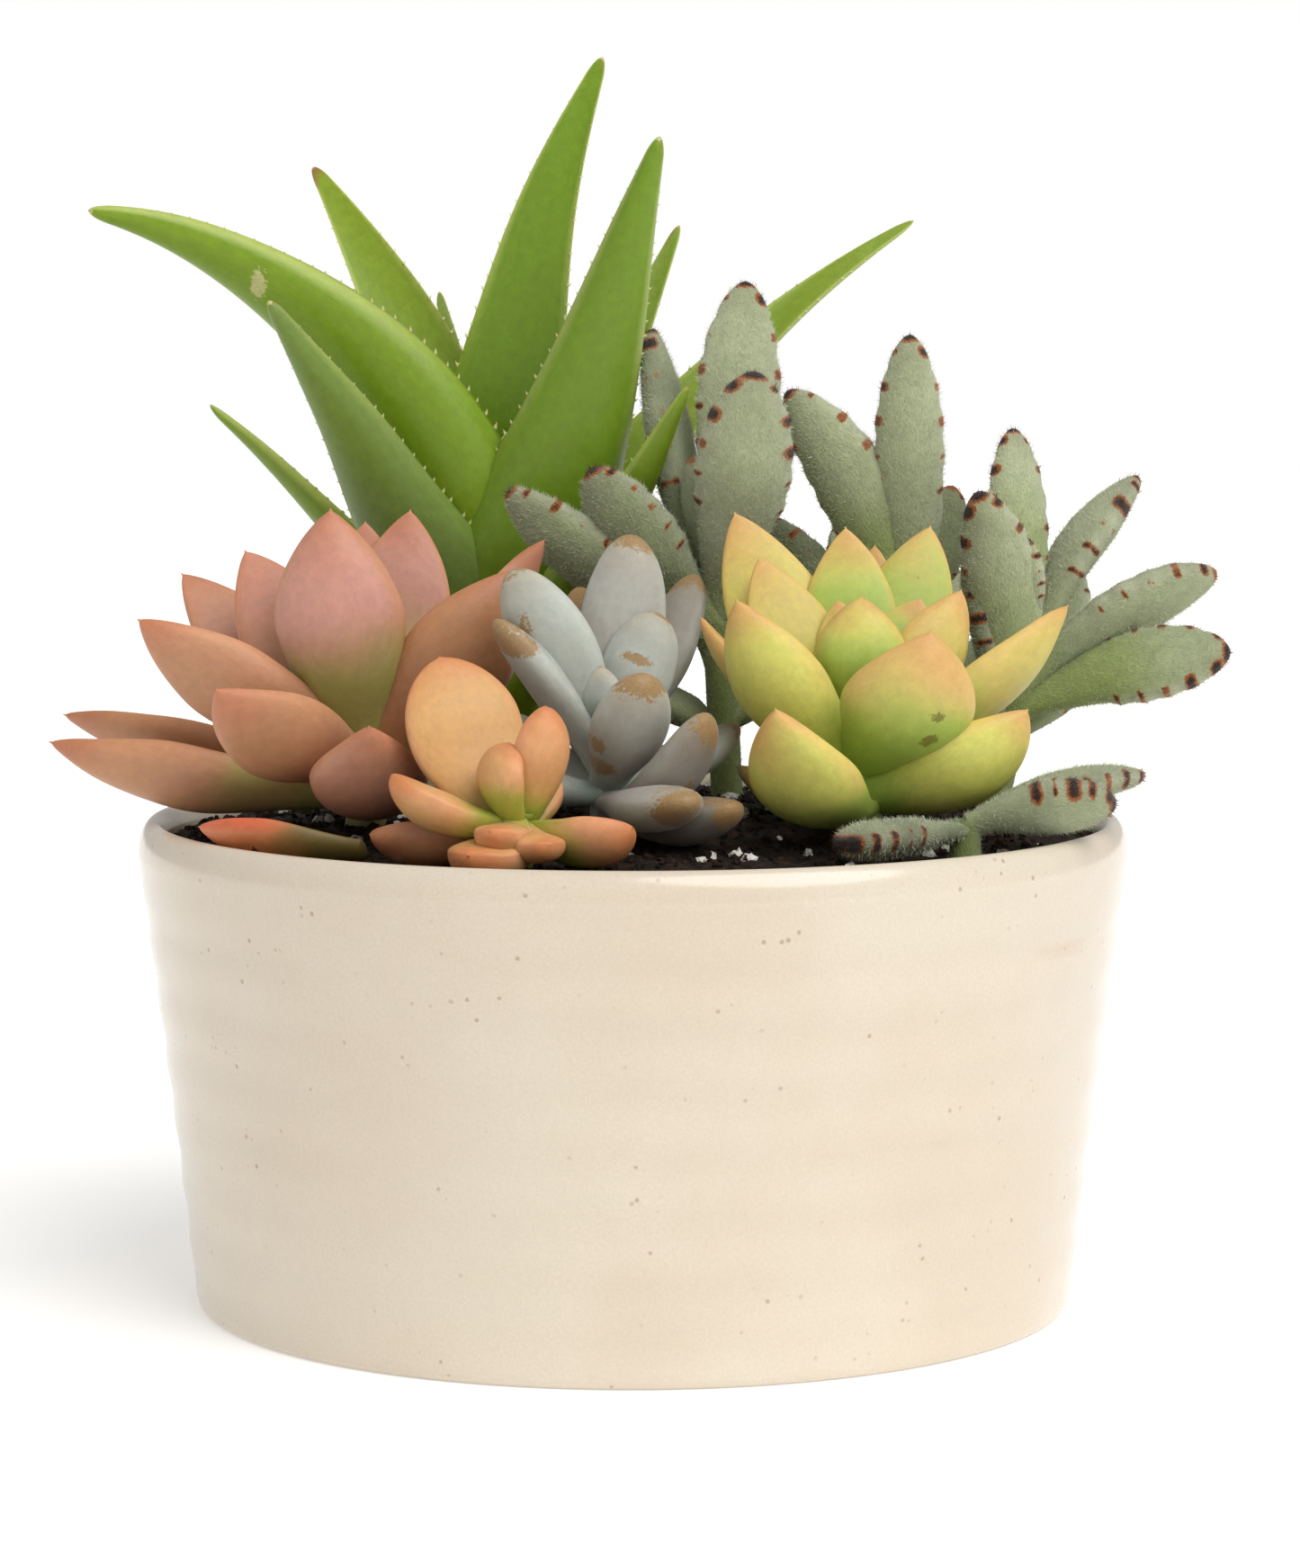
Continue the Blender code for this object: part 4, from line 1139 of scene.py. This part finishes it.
def hair_tree():
    """Hairs scattered over a felted surface, leaning along the leaf."""
    make = Growth("Hair coat", (
        ("Density", "Float", 1e6), ("Length", "Float", 0.7 * MM), ("Width", "Float", 0.08 * MM),
        ("Lean", "Float", 0.7), ("Seed", "Int", 3), ("Material", "Material", None)))
    scatter = make.add("GeometryNodeDistributePointsOnFaces", {
        "Mesh": make.inputs["Geometry"], "Seed": make.inputs["Seed"]})
    make.feed(scatter.inputs["Density"], make.maths("MULTIPLY", make.inputs["Density"], make.named("fur")))
    ruffle = make.random((-1, -1, -1), (1, 1, 1), make.inputs["Seed"], "FLOAT_VECTOR")
    ruffle = make.vector_maths("SCALE", ruffle, scale=make.inputs["Lean"])
    comb = make.vector_maths("SCALE", make.named("comb", "FLOAT_VECTOR"), scale=make.inputs["Lean"])
    way = make.vector_maths("ADD", make.vector_maths("ADD", scatter.outputs["Normal"], ruffle), comb)
    turn = make.add("FunctionNodeAlignRotationToVector", {"Vector": way}, axis="Z")
    hair = make.add("GeometryNodeMeshCone", {
        "Vertices": 3, "Radius Top": 0.0,
        "Radius Bottom": make.inputs["Width"], "Depth": make.inputs["Length"]})
    placed = make.add("GeometryNodeInstanceOnPoints", {
        "Points": scatter.outputs["Points"], "Instance": hair.outputs["Mesh"],
        "Rotation": turn.outputs[0], "Scale": make.random(0.45, 1.3, 7)})
    return make.close(placed.outputs[0])


def tooth_tree():
    """A hooked tooth on every point of an edge."""
    make = Growth("Edge teeth", (
        ("Height", "Float", MM), ("Width", "Float", 0.5 * MM), ("Material", "Material", None)))
    tooth = make.add("GeometryNodeMeshCone", {
        "Vertices": 6, "Side Segments": 3, "Radius Top": 0.0, "Radius Bottom": make.inputs["Width"],
        "Depth": make.inputs["Height"]})
    place = make.add("GeometryNodeInputPosition").outputs[0]
    height = make.add("ShaderNodeSeparateXYZ", {0: place}).outputs["Z"]
    hook = make.maths("MULTIPLY", make.maths("MULTIPLY", height, height), 350.0)
    bent = make.add("GeometryNodeSetPosition", {
        "Geometry": tooth.outputs["Mesh"],
        "Offset": make.add("ShaderNodeCombineXYZ", {"X": hook}).outputs[0]})
    turn = make.add("FunctionNodeAlignRotationToVector", {
        "Vector": make.named("tooth_out", "FLOAT_VECTOR")}, axis="Z")
    twist = make.add("FunctionNodeAlignRotationToVector", {
        "Rotation": turn.outputs[0], "Vector": make.named("comb", "FLOAT_VECTOR")}, axis="X", pivot_axis="Z")
    placed = make.add("GeometryNodeInstanceOnPoints", {
        "Points": make.inputs["Geometry"], "Instance": bent.outputs[0], "Rotation": twist.outputs[0],
        "Scale": make.named("size")})
    return make.close(placed.outputs[0])


def crumb_tree():
    """Lumpy grains of three shapes scattered on the soil."""
    make = Growth("Crumbs", (
        ("Density", "Float", 1000.0), ("Size", "Float", 1.5 * MM), ("Flatness", "Float", 0.7),
        ("Seed", "Int", 5), ("Material", "Material", None)))
    scatter = make.add("GeometryNodeDistributePointsOnFaces", {
        "Mesh": make.inputs["Geometry"], "Density": make.inputs["Density"], "Seed": make.inputs["Seed"],
        "Selection": make.named("open", "FLOAT")})
    shapes = make.add("GeometryNodeJoinGeometry")
    for shape in range(3):
        grain = make.add("GeometryNodeMeshUVSphere", {"Radius": 0.5, "Segments": 7, "Rings": 4})
        lumps = make.add("ShaderNodeTexNoise", {"Scale": 2.2, "Detail": 2.0, "W": 3.7 * shape},
                         noise_dimensions="4D")
        push = make.vector_maths("SUBTRACT", lumps.outputs["Color"], (0.5, 0.5, 0.5))
        lumpy = make.add("GeometryNodeSetPosition", {
            "Geometry": grain.outputs["Mesh"], "Offset": make.vector_maths("SCALE", push, scale=1.1)})
        alone = make.add("GeometryNodeGeometryToInstance", {"Geometry": lumpy.outputs[0]})
        make.tree.links.new(alone.outputs[0], shapes.inputs[0])
    size = make.vector_maths("SCALE", make.random((0.35, 0.35, 0.35), (1.3, 1.3, 1.3), 11, "FLOAT_VECTOR"),
                             scale=make.inputs["Size"])
    spin = make.random((0, 0, 0), (math.tau, math.tau, math.tau), 13, "FLOAT_VECTOR")
    placed = make.add("GeometryNodeInstanceOnPoints", {
        "Points": scatter.outputs["Points"], "Instance": shapes.outputs[0], "Pick Instance": True,
        "Rotation": spin, "Scale": size})
    return make.close(placed.outputs[0])


def throwing_tree():
    """Low ridges pressed round a turned wall by the fingers, not quite level."""
    make = Growth("Thrown ridges", (
        ("Ridge pitch", "Float", RIDGE_PITCH), ("Ridge height", "Float", 0.15 * MM),
        ("Wobble", "Float", MM), ("Wall top", "Float", WIDEST_HEIGHT), ("Material", "Material", None)))
    place = make.add("GeometryNodeInputPosition").outputs[0]
    height = make.add("ShaderNodeSeparateXYZ", {0: place}).outputs["Z"]
    lift = make.add("ShaderNodeTexNoise", {"Vector": place, "Scale": 9.0, "Detail": 1.0}).outputs["Fac"]
    lift = make.maths("MULTIPLY", make.maths("SUBTRACT", lift, 0.5), make.inputs["Wobble"])
    turns = make.maths("DIVIDE", make.maths("ADD", height, lift), make.inputs["Ridge pitch"])
    swell = make.maths("MULTIPLY", make.maths("COSINE", make.maths("MULTIPLY", turns, math.tau)),
                       make.inputs["Ridge height"])
    foot_fade = make.maths("MINIMUM", make.maths("DIVIDE", height, make.inputs["Ridge pitch"]), 1.0)
    top_fade = make.maths("DIVIDE", make.maths("SUBTRACT", make.inputs["Wall top"], height),
                          make.inputs["Ridge pitch"])
    fade = make.maths("MINIMUM", foot_fade, top_fade)
    swell = make.maths("MULTIPLY", make.maths("MULTIPLY", swell, fade), make.named("outer"))
    level = make.vector_maths("NORMALIZE", make.vector_maths("MULTIPLY", place, (1, 1, 0)))
    pressed = make.add("GeometryNodeSetPosition", {
        "Geometry": make.inputs["Geometry"], "Offset": make.vector_maths("SCALE", level, scale=swell)})
    return make.close(pressed.outputs[0])


# Pieces

def bowl_rows(settings):
    """Rows of the turned bowl, from the middle of its underside, up the outer wall, over the lip and in."""
    lip = WALL / 2
    lip_middle = RIM_RADIUS - lip
    outline = [(share * (BASE_RADIUS - BASE_ROUND), 0.0, 0.0) for share in (0.3, 0.6, 0.9, 1.0)]
    for step in range(1, 5):
        angle = 0.5 * math.pi * step / 4
        outline.append((BASE_RADIUS - BASE_ROUND + BASE_ROUND * math.sin(angle),
                        BASE_ROUND * (1 - math.cos(angle)), 0.0))
    for step in range(1, settings.steps + 1):
        height = BASE_ROUND + (WIDEST_HEIGHT - BASE_ROUND) * step / (settings.steps + 1)
        outline.append((wall_radius(height), height, 1.0))
    for step in range(LIP_STEPS + 1):
        angle = math.pi * step / LIP_STEPS
        rise = (BOWL_HEIGHT - WIDEST_HEIGHT) * math.sin(angle)
        outline.append((lip_middle + lip * math.cos(angle), WIDEST_HEIGHT + rise, 0.0))
    for step in range(1, 13):
        height = WIDEST_HEIGHT + (FLOOR - WIDEST_HEIGHT) * step / 12
        outline.append((wall_radius(height) - WALL, height, 0.0))
    outline.extend((share * (wall_radius(FLOOR) - WALL), FLOOR, 0.0) for share in (0.8, 0.4))
    return np.array(outline)


def wall_radius(height):
    """Radius of the bowl's plain tapered outer wall."""
    share = np.minimum(height / WIDEST_HEIGHT, 1)
    return BASE_RADIUS + (RIM_RADIUS - BASE_RADIUS) * share ** TAPER_POWER


def turned_rows(outline, facets):
    around = np.linspace(0, math.tau, facets, endpoint=False)
    radius, height = outline[:, 0, None], outline[:, 1, None]
    level = np.broadcast_to(height, (len(outline), facets))
    return np.stack([radius * np.cos(around), radius * np.sin(around), level], axis=-1)


def soil_height(x, y):
    """Surface of the soil: mounded, low at the wall, hollowed under the heavy leaves, slightly lumpy."""
    height = SOIL_CROWN - SOIL_FALL * (x * x + y * y) / SOIL_RADIUS ** 2
    for hollow_x, hollow_y, reach, depth in HOLLOWS:
        away = (x - hollow_x) ** 2 + (y - hollow_y) ** 2
        height = height - depth * np.exp(-away / reach ** 2)
    lumps = np.sin(x / (4.1 * MM)) * np.cos(y / (3.7 * MM)) + np.sin((x + y) / (2.9 * MM))
    return height + SOIL_LUMP * lumps


def soil_shell():
    """The soil's body, crumbled on top."""
    top_radius = wall_radius(SOIL_CROWN - SOIL_FALL) - WALL - GAP
    outline = [(share * (wall_radius(FLOOR) - WALL - GAP), FLOOR + GAP, 0) for share in (0.5, 1.0)]
    outline += [(wall_radius(share * SOIL_CROWN) - WALL - GAP, share * SOIL_CROWN, 0)
                for share in (0.3, 0.6, 0.85)]
    outline += [(top_radius * (1 - step / SOIL_RINGS), SOIL_CROWN, 1) for step in range(SOIL_RINGS)]
    rows = turned_rows(np.array(outline), SOIL_FACETS)
    open_top = np.broadcast_to(np.array(outline)[:, 2, None], rows.shape[:2])
    height = soil_height(rows[..., 0], rows[..., 1])
    crumble = np.array([[noise.fractal(Vector(point) / SOIL_GRAIN, 0.8, 2.2, 4) for point in row]
                        for row in rows.tolist()])
    lumpy = height + SOIL_CRUMBLE * np.clip(crumble, -1.5, 1.5)
    rows = rows.copy()
    rows[..., 2] = np.where(open_top > 0, lumpy, rows[..., 2])
    shells = Shells()
    shells.add(rows, np.array([0, 0, FLOOR + GAP]), np.array([0, 0, soil_height(0.0, 0.0)]), open=open_top)
    return shells


class DISHGARDEN_OT_bowl(bpy.types.Operator):
    """Thrown bowl with low ridges, a rounded lip and a speckled glaze"""
    bl_idname = "dish_garden.bowl"
    bl_label = "Bowl"

    def execute(self, context):
        settings = context.scene.dish_garden.bowl
        outline = bowl_rows(settings)
        rows = turned_rows(outline, settings.facets)
        shells = Shells()
        outer = np.broadcast_to(outline[:, 2, None], rows.shape[:2])
        shells.add(rows, np.array([0.0, 0, 0]), np.array([0.0, 0, FLOOR]), outer=outer)
        bowl = new_piece("bowl_glazed", shells.mesh("bowl_glazed"))
        grown(bowl, throwing_tree(), {
            "Ridge height": settings.ridge_height, "Wobble": settings.wobble,
            "Material": glaze_material("Speckled glaze", settings)})
        declare(bowl, ["bowl"], "glazed_stoneware")
        return {"FINISHED"}


class DISHGARDEN_OT_soil(bpy.types.Operator):
    """Damp soil with crumbs of bark and grains of perlite"""
    bl_idname = "dish_garden.soil"
    bl_label = "Soil"

    def execute(self, context):
        settings = context.scene.dish_garden.soil
        damp = soil_material("Damp soil", settings)
        bed = new_piece("soil_bed", soil_shell().mesh("soil_bed"), damp)
        scatters = (
            ("soil_crumbs", settings.crumb_count, settings.crumb_size, 5, damp),
            ("soil_perlite", settings.perlite_count, settings.perlite_size, 9,
             perlite_material("Perlite", settings)),
        )
        tree = crumb_tree()
        for name, count, size, seed, material in scatters:
            crumbs = new_piece(name, bed.data.copy())
            grown(crumbs, tree, {"Density": 100.0 * count, "Size": size, "Seed": seed, "Material": material})
            declare(crumbs, [], "potting_soil")
        declare(bed, ["soil"], "potting_soil")
        return {"FINISHED"}


class DISHGARDEN_OT_aloe(bpy.types.Operator):
    """Aloe with channelled, toothed leaves"""
    bl_idname = "dish_garden.aloe"
    bl_label = "Aloe"

    def execute(self, context):
        coat = context.scene.dish_garden.aloe
        shells, teeth = plant_shells("aloe", coat, ALOE_DETAIL, rub=tip_rub, spacing=coat.tooth_spacing,
                                     look={"softness": 0.3, "tip_from": 0.975, "rim_share": 0.55})
        skin = leaf_material("Aloe skin", plain(coat.scar), 0.38, 2.5 * MM, 0.05, 0.03 * MM)
        leaves = new_piece("aloe_leaves", shells.mesh("aloe_leaves"), skin)
        edge = new_piece("aloe_teeth", teeth_mesh(teeth))
        grown(edge, tooth_tree(), {
            "Height": coat.tooth_height, "Width": 0.42 * coat.tooth_height,
            "Material": tooth_material("Aloe teeth", coat)})
        declare(leaves, ["aloe"], "aloe_leaf")
        declare(edge, [], "aloe_leaf")
        return {"FINISHED"}


class DISHGARDEN_OT_sedums(bpy.types.Operator):
    """Copper, orange and golden sedums with waxy pointed leaves"""
    bl_idname = "dish_garden.sedums"
    bl_label = "Sedums"

    def execute(self, context):
        garden = context.scene.dish_garden
        kinds = (
            ("copper_sedum", garden.copper_sedum, "copper_leaf", 0.16),
            ("orange_sedum", garden.orange_sedum, "orange_leaf", 0.18),
            ("golden_sedum", garden.golden_sedum, "golden_leaf", 0.16),
        )
        for name, coat, slot, softness in kinds:
            shells, _ = plant_shells(name, coat, LEAF_DETAIL, rub=tip_rub, look={"softness": softness})
            skin = leaf_material(name + " skin", plain(coat.scar), 0.46, 2.5 * MM, 0.035, 0.02 * MM)
            leaves = new_piece(name + "_leaves", shells.mesh(name + "_leaves"), skin)
            declare(leaves, [name], slot)
        return {"FINISHED"}


class DISHGARDEN_OT_pachyphytum(bpy.types.Operator):
    """Blue-grey pachyphytum, its powder rubbed off at the tips"""
    bl_idname = "dish_garden.pachyphytum"
    bl_label = "Pachyphytum"

    def execute(self, context):
        coat = context.scene.dish_garden.blue_pachyphytum
        shells, _ = plant_shells("blue_pachyphytum", coat, LEAF_DETAIL, rub=powder_rub)
        skin = leaf_material("Powdered skin", plain(coat.scar), 0.62, 2 * MM, 0.03, 0.03 * MM, powder=0.2)
        leaves = new_piece("blue_pachyphytum_leaves", shells.mesh("blue_pachyphytum_leaves"), skin)
        declare(leaves, ["blue_pachyphytum"], "powdery_leaf")
        return {"FINISHED"}


class DISHGARDEN_OT_kalanchoes(bpy.types.Operator):
    """Felted kalanchoes with scalloped, spotted edges"""
    bl_idname = "dish_garden.kalanchoes"
    bl_label = "Kalanchoes"

    def execute(self, context):
        coat = context.scene.dish_garden.kalanchoe
        skin = felt_material("Felted skin", coat)
        down = hair_material("Felt hairs", coat)
        tree = hair_tree()
        for name in ("kalanchoe_left", "kalanchoe_middle", "kalanchoe_right", "kalanchoe_low"):
            shells, _ = plant_shells(name, coat, LEAF_DETAIL, scallops=SCALLOPS, rub=edge_spots,
                                     look={"softness": 0.25, "tip_from": 0.8})
            leaves = new_piece(name + "_leaves", shells.mesh(name + "_leaves"), skin)
            hairs = new_piece(name + "_hairs", leaves.data.copy())
            grown(hairs, tree, {
                "Density": coat.hair_density / MM ** 2, "Length": coat.hair_length,
                "Width": 0.5 * coat.hair_width, "Material": down})
            declare(leaves, [name], "felted_leaf")
            declare(hairs, [], "felted_leaf")
        return {"FINISHED"}


class DISHGARDEN_OT_fallen_leaf(bpy.types.Operator):
    """Loose red leaf that lies on the soil"""
    bl_idname = "dish_garden.fallen_leaf"
    bl_label = "Fallen leaf"

    def execute(self, context):
        coat = context.scene.dish_garden.fallen_leaf
        rng = np.random.default_rng(LEAF_SEED)
        surface = leaf_surface(SEDUM, FALLEN_LEAF, np.array(FALLEN_LEAF_ROOT) * MM, *LEAF_DETAIL, rng)
        skin = SKINS["fallen_leaf"][0]
        mark = np.maximum(mark_field(MARKS["fallen_leaf"], surface, 0), tip_rub(surface, skin, rng))
        shells = Shells()
        shells.add(surface.points, surface.start, surface.end, skin=leaf_skin(coat, skin, surface, rng),
                   mark=mark, local=local_place(surface, 0))
        flesh = leaf_material("Red skin", plain(coat.scar), 0.42, 2.5 * MM, 0.035, 0.02 * MM)
        leaf = new_piece("fallen_leaf_skin", shells.mesh("fallen_leaf_skin"), flesh)
        declare(leaf, ["fallen_leaf"], "red_leaf")
        return {"FINISHED"}


class DISHGARDEN_OT_stage(bpy.types.Operator):
    """Pale floor, soft light and the camera"""
    bl_idname = "dish_garden.stage"
    bl_label = "Stage"

    def execute(self, context):
        settings = context.scene.dish_garden.studio
        make_floor(settings)
        make_sky(context.scene, settings)
        make_sun("Key", (0.75, -0.85, 1.25), settings.key_light, math.radians(50))
        make_sun("Fill", (-0.9, -0.7, 0.6), settings.fill_light, math.radians(80))
        camera = bpy.data.cameras.new("Camera")
        camera.lens = settings.lens
        camera.sensor_width = SENSOR
        camera.clip_start = 0.01
        view = bpy.data.objects.new("Camera", camera)
        view.location = settings.camera_place
        view.rotation_euler = (math.pi / 2 - settings.camera_pitch, 0, 0)
        context.scene.collection.objects.link(view)
        context.scene.camera = view
        context.scene.view_settings.view_transform = "Standard"
        return {"FINISHED"}


def make_floor(settings):
    mesh = bpy.data.meshes.new("floor")
    corners = [(x * FLOOR_REACH, y * FLOOR_REACH, FLOOR_DROP)
               for x, y in ((-1, -1), (1, -1), (1, 1), (-1, 1))]
    mesh.from_pydata(corners, [], [(0, 1, 2, 3)])
    make = Shader("Pale floor")
    make.set(Base_Color=(*settings.floor, 1), Roughness=0.6, Specular_IOR_Level=0.2,
             Emission_Color=(1, 1, 1, 1), Emission_Strength=settings.floor_glow)
    new_piece("floor", mesh, make.material)


def make_sky(scene, settings):
    """Even light from all round, against a white backdrop."""
    world = bpy.data.worlds.new("Studio")
    world.use_nodes = True
    scene.world = world
    make = Tree(world.node_tree)
    background = world.node_tree.nodes["Background"]
    seen = make.add("ShaderNodeLightPath").outputs["Is Camera Ray"]
    make.feed(background.inputs["Color"], (1, 1, 1, 1))
    make.feed(background.inputs["Strength"], make.fitted(seen, 0, 1, settings.sky, 1.0, soft=False))


def make_sun(name, place, strength, angle):
    """A broad soft light that shines from a place towards the bowl."""
    light = bpy.data.lights.new(name, "SUN")
    light.energy = strength
    light.angle = angle
    lamp = bpy.data.objects.new(name, light)
    lamp.location = place
    lamp.rotation_euler = Vector(place).to_track_quat("Z", "Y").to_euler()
    bpy.context.scene.collection.objects.link(lamp)


class DISHGARDEN_PT_garden(bpy.types.Panel):
    """Makes the pieces of the dish garden one by one"""
    bl_label = "Succulent Dish Garden"
    bl_idname = "DISHGARDEN_PT_garden"
    bl_space_type = "VIEW_3D"
    bl_region_type = "UI"
    bl_category = "Dish Garden"

    def draw(self, context):
        for operator in OPERATORS:
            self.layout.operator(operator.bl_idname)


SETTINGS = (BowlSettings, SoilSettings, AloeSettings, CopperSettings, OrangeSettings, GoldenSettings,
            PowderySettings, KalanchoeSettings, FallenLeafSettings, StudioSettings, GardenSettings)
OPERATORS = (DISHGARDEN_OT_stage, DISHGARDEN_OT_bowl, DISHGARDEN_OT_soil, DISHGARDEN_OT_aloe,
             DISHGARDEN_OT_sedums, DISHGARDEN_OT_pachyphytum, DISHGARDEN_OT_kalanchoes,
             DISHGARDEN_OT_fallen_leaf)


def register():
    for cls in (*SETTINGS, *OPERATORS, DISHGARDEN_PT_garden):
        bpy.utils.register_class(cls)
    bpy.types.Scene.dish_garden = bpy.props.PointerProperty(type=GardenSettings)


def unregister():
    del bpy.types.Scene.dish_garden
    for cls in reversed((*SETTINGS, *OPERATORS, DISHGARDEN_PT_garden)):
        bpy.utils.unregister_class(cls)


def main():
    register()
    for operator in OPERATORS:
        _, name = operator.bl_idname.split(".")
        result = getattr(bpy.ops.dish_garden, name)()
        if result != {"FINISHED"}:
            raise RuntimeError(f"{operator.bl_label} was not finished")


if __name__ == "__main__":
    main()
